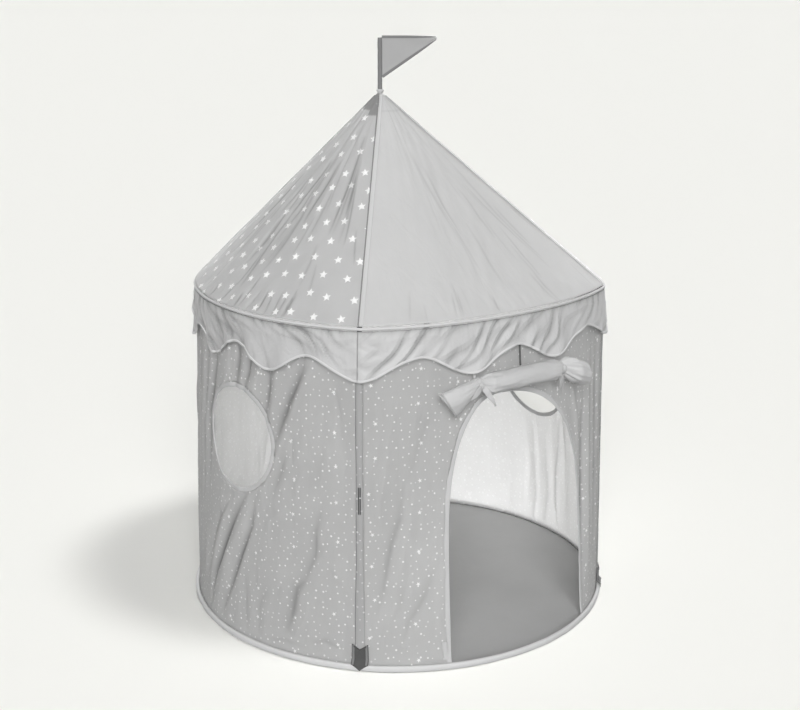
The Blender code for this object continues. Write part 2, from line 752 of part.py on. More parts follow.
def make_roof_frame():
    """The corner connectors, the roof poles and the hub that they meet in."""
    hub_low = APEX_HEIGHT - HUB_DROP - HUB_HEIGHT
    hub = tool("apex_hub", cylinder("apex_hub", HUB_RADIUS, 0.0, HUB_HEIGHT, 20))
    place = Matrix.Translation((APEX.x, APEX.y, hub_low))
    bores = []
    for corner, angle in CORNERS.items():
        mesh, home = top_connector(corner, angle)
        piece(f"top_connector_{corner}", mesh, "black_plastic", place=home)
        start, end = roof_pole_line(angle)
        along = (end - start).normalized()
        first = start + along * (ROOF_SOCKET_LENGTH - SOCKET_DEPTH + GAP)
        last = end - along * (HUB_SOCKET_LENGTH - SOCKET_DEPTH + GAP)
        pole = roof_pole((last - first).length)
        piece(f"roof_pole_{corner}", pole, "glass_fibre_rod", place=aimed(first, along))
        local = place.inverted() @ aimed(end, -along)
        socket = cylinder(f"hub_socket_{corner}", ROOF_POLE_SOCKET_RADIUS, 0.0, HUB_SOCKET_LENGTH)
        join(hub, tool(f"hub_socket_{corner}", socket, local))
        mouth = HUB_SOCKET_LENGTH - SOCKET_DEPTH
        bore = cylinder(f"hub_bore_{corner}", BORE_RADIUS, mouth, HUB_SOCKET_LENGTH + OVERRUN)
        bores.append(tool(f"hub_bore_{corner}", bore, local))
    seat = cylinder(
        "stick_seat", STICK_RADIUS + STICK_CLEARANCE, HUB_HEIGHT - STICK_SEAT_DEPTH, HUB_HEIGHT + OVERRUN
    )
    cut(hub, *bores, tool("stick_seat", seat))
    piece("apex_hub", baked(hub), "black_plastic", place=place)


def roof_surface(panel, u, v):
    """The outer face of one roof panel, from the hoop up to the hole that the flag stick stands in."""
    low_seam = math.degrees(ROOF_SEAM / HOOP_RADIUS)
    high_seam = math.degrees(ROOF_SEAM / ROOF_HOLE_RADIUS)
    low_angle = PANELS[panel] + low_seam + (PANEL_SPAN - 2 * low_seam) * u
    high_angle = PANELS[panel] + high_seam + (PANEL_SPAN - 2 * high_seam) * u
    low = polar(hoop_radius(low_angle), low_angle, RING_HEIGHT + ROOF_FOOT_RISE)
    high = APEX + polar(ROOF_HOLE_RADIUS, high_angle, 0.0)
    point = low.lerp(high, v)
    sag = ROOF_SAG * math.sin(math.pi * u) * math.sin(math.pi * v) * (1.0 - v)
    return point - Vector((0.0, 0.0, sag))


def make_roof():
    for panel in PANELS:
        name = f"roof_{panel}"
        cloth = "star_roof_cloth" if panel in ("left", "right") else "plain_roof_cloth"
        mesh = wrapped(name, lambda u, v, p=panel: roof_surface(p, u, v), 12, 7)
        thicken(piece(name, mesh, cloth), CLOTH)


def valance_surface(u, v):
    """The scalloped flap that hangs from the ring, from its top edge down."""
    degrees = PANELS["door"] + 360.0 * u
    panel, share = panel_share(degrees)
    wave = 0.5 + 0.5 * math.cos(2 * math.pi * SCALLOPS[panel] * share)
    drop = VALANCE_HIGH + (VALANCE_LOW - VALANCE_HIGH) * wave
    height = RING_HEIGHT - VALANCE_TOP_DROP - (drop - VALANCE_TOP_DROP) * v
    folds = math.sin(2 * math.pi * VALANCE_FOLDS * share)
    out = VALANCE_OUTSET + VALANCE_FLARE * v + VALANCE_FOLD_DEPTH * folds * v
    return polar(wall_radius(degrees, height) + HOOP_OUTSET + out, degrees, height)


def make_valance():
    mesh = wrapped("valance", valance_surface, 120, 3, around=True)
    cloth = piece("valance", mesh, "satin_cloth")
    thicken(cloth, CLOTH, 1.0)


def roll_section(across):
    """The middle, the radius and the outward direction of the rolled door at a place along it."""
    nearest = min(abs(across - KNOT_LEFT), abs(across - KNOT_RIGHT))
    inside = KNOT_LEFT < across < KNOT_RIGHT
    share = min(max(nearest - KNOT_FLAT, 0.0) / (KNOT_LENGTH - KNOT_FLAT), 1.0)
    full = ROLL_RADIUS if inside else END_RADIUS
    radius = NECK_RADIUS + (full - NECK_RADIUS) * math.sin(math.pi / 2 * share)
    past = max(KNOT_LEFT - across, across - KNOT_RIGHT, KNOT_FLAT) - KNOT_FLAT
    height = ROLL_HEIGHT - ROLL_END_DROP * min(past / (KNOT_LEFT - ROLL_LEFT - KNOT_FLAT), 1.0)
    degrees = -90.0 + math.degrees(math.asin(across / TENT_RADIUS))
    back = wall_radius(degrees, height) + ROLL_CLEARANCE
    return polar(back + radius, degrees, height), radius, polar(1.0, degrees, 0.0)


def roll_stations():
    """Places along the rolled door, closer together where its ties draw it in."""
    left = [KNOT_LEFT - KNOT_LENGTH, KNOT_LEFT - KNOT_FLAT, KNOT_LEFT + KNOT_FLAT, KNOT_LEFT + KNOT_LENGTH]
    right = [place - KNOT_LEFT + KNOT_RIGHT for place in left]
    ends = [ROLL_LEFT, *left, *right, ROLL_RIGHT]
    places = []
    for a, b, steps in zip(ends, ends[1:], (3, 3, 1, 3, 7, 3, 1, 3, 3)):
        places += [a + (b - a) * i / steps for i in range(steps)]
    return [*places, ROLL_RIGHT]


def roll_surface(u, v):
    stations = roll_stations()
    middle, radius, outwards = roll_section(stations[round(v * (len(stations) - 1))])
    a = 2 * math.pi * u
    return middle + outwards * (radius * math.cos(a)) + Vector((0.0, 0.0, radius * math.sin(a)))


def ribbon(name, path, across, steps):
    """A flat tape along path(share), as wide as TAPE_WIDTH along across."""

    def place(u, v):
        centre = path(v)
        ahead = (path(v + PATH_STEP_SHARE) - path(v - PATH_STEP_SHARE)).normalized()
        thin = ahead.cross(across).normalized()
        corner = round(u * 4) % 4
        wide = TAPE_WIDTH / 2 * (1 if corner in (0, 3) else -1)
        deep = TIE_THICKNESS / 2 * (1 if corner in (0, 1) else -1)
        return centre + across * wide + thin * deep

    return tool(name, wrapped(name, place, 4, steps, True, caps=True))


def make_tie(name, across):
    """A tie round the rolled door: a band at its neck, a tape up to the valance, and two tails."""
    before, radius, _ = roll_section(across - KNOT_FLAT)
    after, radius, _ = roll_section(across + KNOT_FLAT)
    middle = (before + after) / 2
    tangent = (after - before).normalized()
    outwards = tangent.cross(Vector((0, 0, 1))).normalized()
    inner = radius + GAP
    outer = inner + TIE_THICKNESS
    half = TIE_WIDTH / 2
    section = [(inner, -half), (outer, -half), (outer, half), (inner, half)]

    def band(u, v):
        a = 2 * math.pi * u
        reach, side = section[round(v * 4) % 4]
        return middle + outwards * (reach * math.cos(a)) + Vector((0, 0, reach * math.sin(a))) + tangent * side

    body = tool(name, wrapped(name, band, 16, 4, True, True))
    front = middle + outwards * (inner + TIE_THICKNESS * TAIL_SEAT_SHARE)
    degrees = math.degrees(math.atan2(middle.y, middle.x))
    top = RING_HEIGHT - WALL_TOP_DROP
    off = GAP * 2 + TIE_THICKNESS / 2

    def hang(share):
        height = middle.z + (top - middle.z) * share
        return polar(wall_radius(degrees, height) + off, degrees, height)

    riser = ribbon(f"{name}_riser", hang, tangent, 2)
    tails = []
    for side in (-1, 1):
        aim = (tangent * (TAIL_SPREAD_SHARE * side) + Vector((0, 0, -1))).normalized()
        across_tail = aim.cross(outwards).normalized()
        root = front + outwards * (TIE_THICKNESS * TAIL_LAP_SHARE * side)
        tail_path = lambda s, root=root, aim=aim: root + aim * (TIE_TAIL * s)
        tails.append(ribbon(f"{name}_tail_{side + 1}", tail_path, across_tail, 2))
    return baked(join(body, riser, *tails))


def make_door_roll():
    """The door, rolled up and tied above its arch."""
    mesh = wrapped("door_roll", roll_surface, 12, len(roll_stations()) - 1, True, caps=True)
    piece("door_roll", mesh, "satin_cloth")
    piece("door_tie_left", make_tie("door_tie_left", KNOT_LEFT), "binding_tape")
    piece("door_tie_right", make_tie("door_tie_right", KNOT_RIGHT), "binding_tape")


def flag_surface(u, v):
    """The pennant in the frame of its stick: it runs out along X and hangs below its top edge."""
    start = FLAG_SLEEVE_RADIUS * FLAG_JOIN_SHARE
    out = start + FLAG_LENGTH * u
    depth = FLAG_DEPTH * (1.0 - u * (1.0 - FLAG_TIP_SHARE))
    wave = FLAG_WAVE * math.sin(2 * math.pi * u) * u
    return Vector((out, wave, -depth * (1.0 - v)))


def make_flag():
    """The stick in the hub, and the pennant whose sleeve turns on it."""
    seat = APEX_HEIGHT - HUB_DROP - STICK_SEAT_DEPTH + GAP
    sleeve_foot = APEX_HEIGHT + FLAG_LIFT
    stick = empty("flag_stick_axis", Matrix.Translation((APEX.x, APEX.y, sleeve_foot)))
    shaft = cylinder("flag_stick", STICK_RADIUS, seat - sleeve_foot, FLAG_SLEEVE_LENGTH - CLOTH - GAP)
    piece("flag_stick", shaft, "glass_fibre_rod", stick)
    swivel = empty("flag_axis", turn_z(FLAG_AZIMUTH), stick)
    sleeve = tool("flag", cylinder("flag", FLAG_SLEEVE_RADIUS, 0.0, FLAG_SLEEVE_LENGTH))
    cloth = tool("flag_cloth", wrapped("flag_cloth", flag_surface, 8, 2))
    cloth.matrix_world = Matrix.Translation((0.0, 0.0, FLAG_SLEEVE_LENGTH))
    thicken(cloth, FLAG_CLOTH, 0.0)
    bore_top = FLAG_SLEEVE_LENGTH - CLOTH
    bore = cylinder("flag_bore", STICK_RADIUS + STICK_CLEARANCE, -OVERRUN, bore_top)
    join(sleeve, cloth)
    cut(sleeve, tool("flag_bore", bore))
    piece("flag", baked(sleeve), "flag_cloth", swivel)


def main():
    global PIECES, TOOLS
    clear_scene()
    PIECES = new_collection(OBJECT)
    TOOLS = new_collection("cutters")
    make_finishes()
    make_floor()
    make_walls()
    make_sleeves()
    make_pockets()
    make_poles()
    make_ring()
    make_roof_frame()
    make_roof()
    make_valance()
    make_door_roll()
    make_flag()


main()
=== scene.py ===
import logging
import math
import random
from collections.abc import Callable, Sequence
from dataclasses import dataclass, field
from enum import Enum

import bmesh
import bpy
import numpy as np
from bpy.types import Material, Node, NodeSocket, NodeTree, Object
from mathutils import Matrix, Vector, noise


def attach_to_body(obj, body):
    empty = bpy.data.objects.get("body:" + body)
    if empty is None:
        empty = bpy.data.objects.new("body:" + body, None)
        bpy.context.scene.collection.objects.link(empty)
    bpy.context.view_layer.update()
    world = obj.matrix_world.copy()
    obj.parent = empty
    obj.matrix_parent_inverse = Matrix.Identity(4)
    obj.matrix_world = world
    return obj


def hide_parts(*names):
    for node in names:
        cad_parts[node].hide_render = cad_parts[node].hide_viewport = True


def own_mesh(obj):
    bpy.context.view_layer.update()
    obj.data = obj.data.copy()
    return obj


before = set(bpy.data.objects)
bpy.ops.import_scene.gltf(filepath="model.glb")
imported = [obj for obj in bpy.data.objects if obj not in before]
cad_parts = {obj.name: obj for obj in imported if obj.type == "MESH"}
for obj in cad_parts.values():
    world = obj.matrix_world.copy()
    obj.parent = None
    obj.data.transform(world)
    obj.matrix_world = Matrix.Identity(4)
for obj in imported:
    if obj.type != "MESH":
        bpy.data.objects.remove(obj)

LOG = logging.getLogger("play_tent")
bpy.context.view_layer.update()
# The mesh attribute of painted shade: 1 in the depth of a fold and 0 on smooth cloth; it also holds the
# painted shadow below the piping and the roof's darker second layer
FOLD = "fold"
# The name of the map that holds each point's place on the flat cloth
FLAT = "flat"


class Panel(Enum):
    """The four panels of the tent, each with the direction in degrees at which it starts."""

    DOOR = -135.0
    RIGHT = -45.0
    BACK = 45.0
    LEFT = 135.0


class Corner(Enum):
    """The four poles, with their directions in degrees."""

    FRONT_LEFT = -135.0
    FRONT_RIGHT = -45.0
    BACK_RIGHT = 45.0
    BACK_LEFT = 135.0


@dataclass(frozen=True)
class TentShape:
    """The sizes that every cloth piece shares, in metres and degrees.

    The wall leans in by the taper from its foot to the ring, the roof's panels end at a hole round
    the apex, and flat is the straight length of the hoop on each side of a pole.
    """

    radius: float = 0.500
    taper: float = 0.015
    ring: float = 0.768
    apex: tuple[float, float, float] = (-0.0335, 0.0239, 1.206)
    hole: float = 0.0068
    span: float = 90.0
    flat: float = 0.0075
    hoop_outset: float = 0.0035
    pole_radius: float = 0.478
    roof_foot: float = 0.0061
    fold_joint: str = "foot_front_left"
    wall_low: float = 0.0023
    wall_high: float = 0.7622

    def dip_share(self, panel: Panel) -> float:
        """How far the hoop is drawn in half way across a panel, as a share of the radius."""
        return {Panel.DOOR: 0.124, Panel.RIGHT: 0.03, Panel.BACK: 0.03, Panel.LEFT: 0.0312}[panel]

    def panel_at(self, degrees: float) -> tuple[Panel, float]:
        """The panel in a direction, and the share of the way across it.

        Args:
            degrees: The direction, anticlockwise from +X.

        Returns:
            The panel and a share from 0 to 1.
        """
        for panel in Panel:
            share = ((degrees - panel.value) % 360.0) / self.span
            if share < 1.0:
                return panel, share
        return Panel.DOOR, 0.0

    def dip(self, degrees: float) -> float:
        """How far the hoop is drawn in there.

        Args:
            degrees: The direction.

        Returns:
            A share of the radius.
        """
        panel, share = self.panel_at(degrees)
        flat = self.flat / (self.radius * math.radians(self.span))
        inside = min(max((share - flat) / (1 - 2 * flat), 0.0), 1.0)
        return self.dip_share(panel) * math.sin(math.pi * inside)

    def wall(self, degrees: float, height: float) -> float:
        """The radius of the wall's outer face without folds."""
        share = height / self.ring
        return (self.radius - self.taper * share) * (1.0 - self.dip(degrees) * share)

    def hoop(self, degrees: float) -> float:
        """The radius of the top hoop's centre."""
        return self.wall(degrees, self.ring) + self.hoop_outset

    def angle_of(self, across: float, height: float) -> float:
        """The direction of a point of the door panel.

        Args:
            across: How far it lies to the right of the panel's middle, seen from in front.
            height: Its height.

        Returns:
            The direction in degrees.
        """
        degrees = -90.0
        for _ in range(4):
            degrees = -90.0 + math.degrees(math.asin(across / self.wall(degrees, height)))
        return degrees


SHAPE = TentShape()


def polar(radius: float, degrees: float, height: float) -> Vector:
    """The point at a radius, a direction and a height."""
    angle = math.radians(degrees)
    return Vector((radius * math.cos(angle), radius * math.sin(angle), height))


def linear(code: str) -> tuple[float, float, float, float]:
    """An sRGB hex colour as linear RGBA.

    Args:
        code: Six hex digits after a #.

    Returns:
        Linear red, green and blue, and an alpha of 1.
    """
    parts = [int(code[i : i + 2], 16) / 255 for i in (1, 3, 5)]
    low = [c / 12.92 if c <= 0.04045 else ((c + 0.055) / 1.055) ** 2.4 for c in parts]
    return (low[0], low[1], low[2], 1.0)


def add_node(
    tree: NodeTree, kind: str, settings: dict[str, object], inputs: dict[object, object]
) -> Node:
    """Adds one node, with its settings and links.

    Args:
        tree: The node tree.
        kind: The shader node's type, without the words that all of them start with.
        settings: Properties of the node.
        inputs: A value, a socket, or a node whose first output is linked, for each input.

    Returns:
        The new node.
    """
    node = tree.nodes.new(f"ShaderNode{kind}")
    for key, value in settings.items():
        setattr(node, key, value)
    for socket, value in inputs.items():
        if isinstance(value, Node):
            value = value.outputs[0]
        if isinstance(value, NodeSocket):
            tree.links.new(value, node.inputs[socket])
        else:
            node.inputs[socket].default_value = value
    return node


def new_material(name: str) -> tuple[Material, NodeTree, Node]:
    """Makes a material.

    Args:
        name: Its name.

    Returns:
        The material, its node tree and its shader.
    """
    made = bpy.data.materials.new(name)
    made.use_nodes = True
    return made, made.node_tree, made.node_tree.nodes["Principled BSDF"]


@dataclass(frozen=True)
class StarPrint:
    """Five-pointed stars in staggered columns. All sizes are in metres, and turns in radians.

    Arms is the inner corners' distance from the middle as a share of the tips', and top is how far
    above the panel's foot the point lies that the stars point to.
    """

    column: float
    row: float
    stagger: float
    size: float
    turn: float = 0.0
    scatter: float = 0.0
    soft: float = 0.0006
    arms: float = 0.42
    top: float | None = None

    def mask(self, tree: NodeTree) -> Node:
        """Builds the nodes that are 1 on a star and 0 off it.

        Args:
            tree: The material's node tree.

        Returns:
            The node whose first output is the mask.
        """
        uv = add_node(tree, "UVMap", {"uv_map": FLAT}, {})
        parts = add_node(tree, "SeparateXYZ", {}, {0: uv}).outputs
        columns = add_node(tree, "Math", {"operation": "DIVIDE"}, {0: parts[0], 1: self.column})
        index = add_node(tree, "Math", {"operation": "FLOOR"}, {0: columns})
        shift = add_node(tree, "Math", {"operation": "MULTIPLY"}, {0: index, 1: self.stagger})
        height = add_node(tree, "Math", {"operation": "SUBTRACT"}, {0: parts[1], 1: shift})
        rows = add_node(tree, "Math", {"operation": "DIVIDE"}, {0: height, 1: self.row})
        level = add_node(tree, "Math", {"operation": "FLOOR"}, {0: rows})
        cell = add_node(tree, "CombineXYZ", {}, {0: index, 1: level})
        chance = add_node(tree, "TexWhiteNoise", {"noise_dimensions": "2D"}, {"Vector": cell})
        draws = add_node(tree, "SeparateColor", {}, {0: chance.outputs["Color"]}).outputs
        sums = {"operation": "MULTIPLY_ADD"}
        moved = []
        for part, pitch, draw in ((columns, self.column, draws[0]), (rows, self.row, draws[1])):
            share = add_node(tree, "Math", {"operation": "FRACT"}, {0: part})
            low = -(pitch + self.scatter) / 2
            jump = add_node(tree, "Math", sums, {0: draw, 1: self.scatter, 2: low})
            moved.append(add_node(tree, "Math", sums, {0: share, 1: pitch, 2: jump}))
        x, y = moved
        away = add_node(tree, "CombineXYZ", {}, {0: x, 1: y})
        reach = add_node(tree, "VectorMath", {"operation": "LENGTH"}, {0: away}).outputs["Value"]
        angle = add_node(tree, "Math", {"operation": "ARCTAN2"}, {0: x, 1: y})
        if self.top is not None:
            left = add_node(tree, "Math", {"operation": "SUBTRACT"}, {0: self.top, 1: parts[1]})
            lean = add_node(tree, "Math", {"operation": "ARCTAN2"}, {0: parts[0], 1: left})
            angle = add_node(tree, "Math", {"operation": "ADD"}, {0: angle, 1: lean})
        turned = add_node(tree, "Math", sums, {0: draws[2], 1: self.turn, 2: angle})
        half_arm = math.pi / 5
        wedge = add_node(tree, "Math", {"operation": "PINGPONG"}, {0: turned, 1: half_arm})
        tip = self.size / 2
        inner_x, inner_y = (tip * self.arms * part for part in (math.cos(half_arm), math.sin(half_arm)))
        edge = math.hypot(tip - inner_x, inner_y)
        distance = -tip * inner_y / edge
        for part, slope in (("COSINE", inner_y / edge), ("SINE", (tip - inner_x) / edge)):
            turn = add_node(tree, "Math", {"operation": part}, {0: wedge})
            place = add_node(tree, "Math", {"operation": "MULTIPLY"}, {0: turn, 1: reach})
            distance = add_node(tree, "Math", sums, {0: place, 1: slope, 2: distance})
        ends = {0: distance, 1: self.soft, 2: -self.soft, 3: 0.0, 4: 1.0}
        return add_node(tree, "MapRange", {"interpolation_type": "SMOOTHSTEP"}, ends)


@dataclass(frozen=True)
class DotPrint:
    """Round dots scattered over the cloth, with sizes in metres.

    Smallest, growth and soft are shares of a dot's mean radius, and faintest is the least ink.
    """

    spacing: float = 0.0185
    size: float = 0.0040
    scatter: float = 0.75
    smallest: float = 0.7
    growth: float = 0.5
    soft: float = 0.35
    faintest: float = 0.4

    def mask(self, tree: NodeTree) -> Node:
        """Builds the nodes that are 1 on a dot and 0 off it.

        Args:
            tree: The material's node tree.

        Returns:
            The node whose first output is the mask.
        """
        uv = add_node(tree, "UVMap", {"uv_map": FLAT}, {})
        cells = add_node(
            tree,
            "TexVoronoi",
            {"voronoi_dimensions": "2D"},
            {"Vector": uv, "Scale": 1 / self.spacing, "Randomness": self.scatter},
        ).outputs
        draws = add_node(tree, "SeparateColor", {}, {0: cells["Color"]}).outputs
        mean = self.size / self.spacing / 2
        sums = {"operation": "MULTIPLY_ADD"}
        sizes = {0: draws[0], 1: mean * self.growth, 2: mean * self.smallest}
        radius = add_node(tree, "Math", sums, sizes)
        past = add_node(
            tree, "Math", {"operation": "SUBTRACT"}, {0: cells["Distance"], 1: radius}
        )
        ends = {0: past, 1: mean * self.soft, 2: -mean * self.soft, 3: 0.0, 4: 1.0}
        dot = add_node(tree, "MapRange", {"interpolation_type": "SMOOTHSTEP"}, ends)
        inks = {0: draws[1], 1: 1 - self.faintest, 2: self.faintest}
        ink = add_node(tree, "Math", sums, inks)
        return add_node(tree, "Math", {"operation": "MULTIPLY"}, {0: dot, 1: ink})


@dataclass(frozen=True)
class Weave:
    """The threads and small creases of a cloth, as bump. All sizes are in metres."""

    thread: float = 0.0024
    thread_depth: float = 0.00008
    crease: float = 0.035
    crease_depth: float = 0.0010
    stretch: tuple[float, float] = (1.0, 0.45)

    def bump(self, tree: NodeTree) -> Node:
        """Builds the bump of the threads over the bump of the creases.

        Args:
            tree: The material's node tree.

        Returns:
            The last bump node.
        """
        uv = add_node(tree, "UVMap", {"uv_map": FLAT}, {})
        pull = {0: uv, 1: (*self.stretch, 1.0)}
        pulled = add_node(tree, "VectorMath", {"operation": "MULTIPLY"}, pull)
        small = add_node(
            tree,
            "TexNoise",
            {"noise_dimensions": "2D"},
            {"Vector": pulled, "Scale": 1 / self.crease, "Detail": 4.0, "Roughness": 0.55, "Distortion": 0.6},
        )
        depth = {"Strength": 1.0, "Distance": self.crease_depth, "Height": small}
        creased = add_node(tree, "Bump", {}, depth)
        # A wave texture repeats every 0.314 divided by its scale
        waves = {"Vector": uv, "Scale": 0.314 / self.thread}
        warp, weft = (
            add_node(
                tree, "TexWave", {"wave_type": "BANDS", "bands_direction": way}, waves
            ).outputs["Fac"]
            for way in ("X", "Y")
        )
        threads = add_node(tree, "Math", {"operation": "ADD"}, {0: warp, 1: weft})
        depth = {"Strength": 1.0, "Distance": self.thread_depth, "Height": threads, "Normal": creased}
        return add_node(tree, "Bump", {}, depth)


@dataclass(frozen=True)
class Cloth:
    """A woven cloth: its colours, print and weave.

    Through is the light it lets through, fold_shade the colour painted as shade in the depth of a fold,
    and band the heights in metres between which something dark shows through it. That band is darkest
    within band_core of the cloth's middle and ends at band_reach, and a line down its middle is paler.
    """

    name: str
    colour: str
    shade: str
    roughness: float = 0.85
    sheen: float = 0.15
    weave: Weave = Weave()
    dots: DotPrint | None = None
    stars: StarPrint | None = None
    ink: str = "#E4E4E4"
    band: tuple[float, float] | None = None
    band_colour: str = "#6A6A6A"
    band_soft: float = 0.003
    band_core: float = 0.0025
    band_reach: float = 0.0040
    band_line: float = 0.0012
    band_least: float = 0.35
    through: str | None = None
    # The colour of the painted shade in folds
    fold_shade: str | None = None

    def build(self) -> Material:
        """Makes the cloth's material once.

        Returns:
            The material.
        """
        made = bpy.data.materials.get(self.name)
        if made is not None:
            return made
        made, tree, shader = new_material(self.name)
        shader.inputs["Roughness"].default_value = self.roughness
        shader.inputs["Sheen Weight"].default_value = self.sheen
        shader.inputs["Sheen Roughness"].default_value = 0.5
        shader.inputs["Specular IOR Level"].default_value = 0.3
        uv = add_node(tree, "UVMap", {"uv_map": FLAT}, {})
        cloudy = add_node(
            tree,
            "TexNoise",
            {"noise_dimensions": "2D"},
            {"Vector": uv, "Scale": 9.0, "Detail": 5.0, "Roughness": 0.6},
        )
        mixing = {"data_type": "RGBA"}
        pair = {0: cloudy, 6: linear(self.shade), 7: linear(self.colour)}
        colour = add_node(tree, "Mix", mixing, pair).outputs[2]
        if self.band is not None:
            colour = self.banded(tree, colour)
        for printed in (self.dots, self.stars):
            if printed is not None:
                pair = {0: printed.mask(tree), 6: colour, 7: linear(self.ink)}
                colour = add_node(tree, "Mix", mixing, pair).outputs[2]
        sent: NodeSocket | tuple[float, float, float, float] = linear(self.through or "#000000")
        if self.fold_shade is not None:
            # Painted shade: the colour and the light it lets through are darker in the depth of a fold, where
            # three layers of cloth let less light through
            fold = add_node(tree, "Attribute", {"attribute_name": FOLD}, {}).outputs["Fac"]
            dark = linear(self.fold_shade)
            colour, sent = (
                add_node(tree, "Mix", mixing, {0: fold, 6: flat, 7: dark}).outputs[2]
                for flat in (colour, sent)
            )
        normal = self.weave.bump(tree).outputs[0]
        tree.links.new(colour, shader.inputs["Base Color"])
        tree.links.new(normal, shader.inputs["Normal"])
        if self.through is not None:
            # Thin cloth scatters part of the light through to its other side
            glow = add_node(tree, "BsdfTranslucent", {}, {"Color": sent, "Normal": normal})
            both = add_node(tree, "AddShader", {}, {0: shader, 1: glow})
            tree.links.new(both.outputs[0], tree.nodes["Material Output"].inputs["Surface"])
        return made

    def banded(self, tree: NodeTree, colour: NodeSocket) -> NodeSocket:
        """Darkens the cloth where something dark and narrow lies close behind it.

        Args:
            tree: The material's node tree.
            colour: The cloth's colour.

        Returns:
            The colour with the dark band in it.
        """
        uv = add_node(tree, "UVMap", {"uv_map": FLAT}, {})
        parts = add_node(tree, "SeparateXYZ", {}, {0: uv}).outputs
        aside = add_node(tree, "Math", {"operation": "ABSOLUTE"}, {0: parts[0]})
        low, high = self.band
        marked: Node | None = None
        for ends in (
            {0: parts[1], 1: low, 2: low + self.band_soft, 3: 0.0, 4: 1.0},
            {0: parts[1], 1: high - self.band_soft, 2: high, 3: 1.0, 4: 0.0},
            {0: aside, 1: self.band_core, 2: self.band_reach, 3: 1.0, 4: 0.0},
            {0: aside, 1: 0.0, 2: self.band_line, 3: self.band_least, 4: 1.0},
        ):
            part = add_node(tree, "MapRange", {}, ends)
            if marked is not None:
                part = add_node(tree, "Math", {"operation": "MULTIPLY"}, {0: marked, 1: part})
            marked = part
        pair = {0: marked, 6: colour, 7: linear(self.band_colour)}
        return add_node(tree, "Mix", {"data_type": "RGBA"}, pair).outputs[2]


@dataclass(frozen=True)
class Solid:
    """A rod, wire or moulding: its colour, polish and fine surface."""

    name: str
    colour: str
    worn: str
    roughness: float
    metallic: float = 0.0
    uneven: float = 0.15
    grain: float = 0.004
    grain_depth: float = 0.00005
    stretch: tuple[float, float, float] = (1.0, 1.0, 1.0)

    def build(self) -> Material:
        """Makes the material once.

        Returns:
            The material.
        """
        made = bpy.data.materials.get(self.name)
        if made is not None:
            return made
        made, tree, shader = new_material(self.name)
        shader.inputs["Metallic"].default_value = self.metallic
        place = add_node(tree, "TexCoord", {}, {}).outputs["Object"]
        pull = {0: place, 1: self.stretch}
        pulled = add_node(tree, "VectorMath", {"operation": "MULTIPLY"}, pull)
        grain = {"Vector": pulled, "Scale": 1 / self.grain, "Detail": 4.0, "Roughness": 0.6}
        fine = add_node(tree, "TexNoise", {}, grain)
        pair = {0: fine, 6: linear(self.worn), 7: linear(self.colour)}
        colour = add_node(tree, "Mix", {"data_type": "RGBA"}, pair)
        low, high = (self.roughness * (1 + change) for change in (-self.uneven, self.uneven))
        polish = add_node(tree, "MapRange", {}, {0: fine, 1: 0.3, 2: 0.7, 3: low, 4: high})
        depth = {"Strength": 1.0, "Distance": self.grain_depth, "Height": fine}
        bump = add_node(tree, "Bump", {}, depth)
        tree.links.new(colour.outputs[2], shader.inputs["Base Color"])
        tree.links.new(polish.outputs[0], shader.inputs["Roughness"])
        tree.links.new(bump.outputs[0], shader.inputs["Normal"])
        return made


WALL_DOTS = DotPrint()
WALL_STARS = StarPrint(column=0.104, row=0.0815, stagger=0.034, size=0.0105, turn=0.6, scatter=0.016)
ROOF_STARS = StarPrint(
    column=0.049, row=0.051, stagger=0.022, size=0.0212, turn=0.25, scatter=0.017, soft=0.0005, top=0.62
)

# Woven polyester taffeta, printed in white on its outer face only, with creases from packing
WALL_CLOTH = Cloth(
    "printed_polyester_taffeta",
    "#8E8E8E",
    "#838383",
    sheen=0.0,
    dots=WALL_DOTS,
    stars=WALL_STARS,
    ink="#CFCFCF",
    through="#A6A6A6",
    # Painted shade in its folds
    fold_shade="#3C3C3C",
)
# The unprinted back of the same cloth: paler, and the print shows through faintly
WALL_LINING = Cloth(
    "polyester_taffeta_back",
    "#C0C0C0",
    "#BABABA",
    sheen=0.0,
    dots=WALL_DOTS,
    stars=WALL_STARS,
    ink="#DADADA",
    through="#B1B1B1",
    # Painted shade in its folds, seen from inside
    fold_shade="#808080",
)
# The pole's sleeve is the wall's cloth again, thin enough for the dark knee to show through
SLEEVE_CLOTH = Cloth(
    "printed_polyester_sleeve",
    "#B2B2B2",
    "#A9A9A9",
    dots=WALL_DOTS,
    band=(0.362, 0.426),
    band_colour="#4C4C4C",
)
# The roof's woven polyester is denser than the wall's, with printed stars on two of its panels
ROOF_STARRED = Cloth(
    "star_printed_polyester_canopy",
    "#B6B6B6",
    "#ACACAC",
    stars=ROOF_STARS,
    ink="#EAEAEA",
    through="#959595",
    # Painted shade in its sharp creases
    fold_shade="#4E4E4E",
)
ROOF_PLAIN = Cloth(
    # Painted shade in its sharp creases
    "plain_woven_polyester_canopy", "#BFBFBF", "#B8B8B8", through="#959595", fold_shade="#4E4E4E"
)
# Bands, piping and bindings are cloth folded on itself: paler, as no light comes through them
RIDGE_TAPE = Cloth(
    "folded_polyester_seam_band",
    "#DEDEDE",
    "#D2D2D2",
    weave=Weave(thread=0.002, thread_depth=0.00015, crease=0.02, crease_depth=0.0008, stretch=(0.4, 1.0)),
)
# A dark strip along each ridge band's edge, where the seam lies: painted shade cast by the band's edge
SEAM_SHADE = Cloth("painted_ridge_seam_shade", "#979797", "#8E8E8E")
# Satin weave: long floats lie smooth, so folds catch a soft highlight
SATIN = Cloth(
    "polyester_satin",
    "#D4D4D4",
    "#CBCBCB",
    # Painted shade in its creases and below the piping
    fold_shade="#7E7E7E",
    roughness=0.50,
    sheen=0.3,
    weave=Weave(thread_depth=0.00003, crease=0.028, crease_depth=0.0022, stretch=(1.0, 0.7)),
)
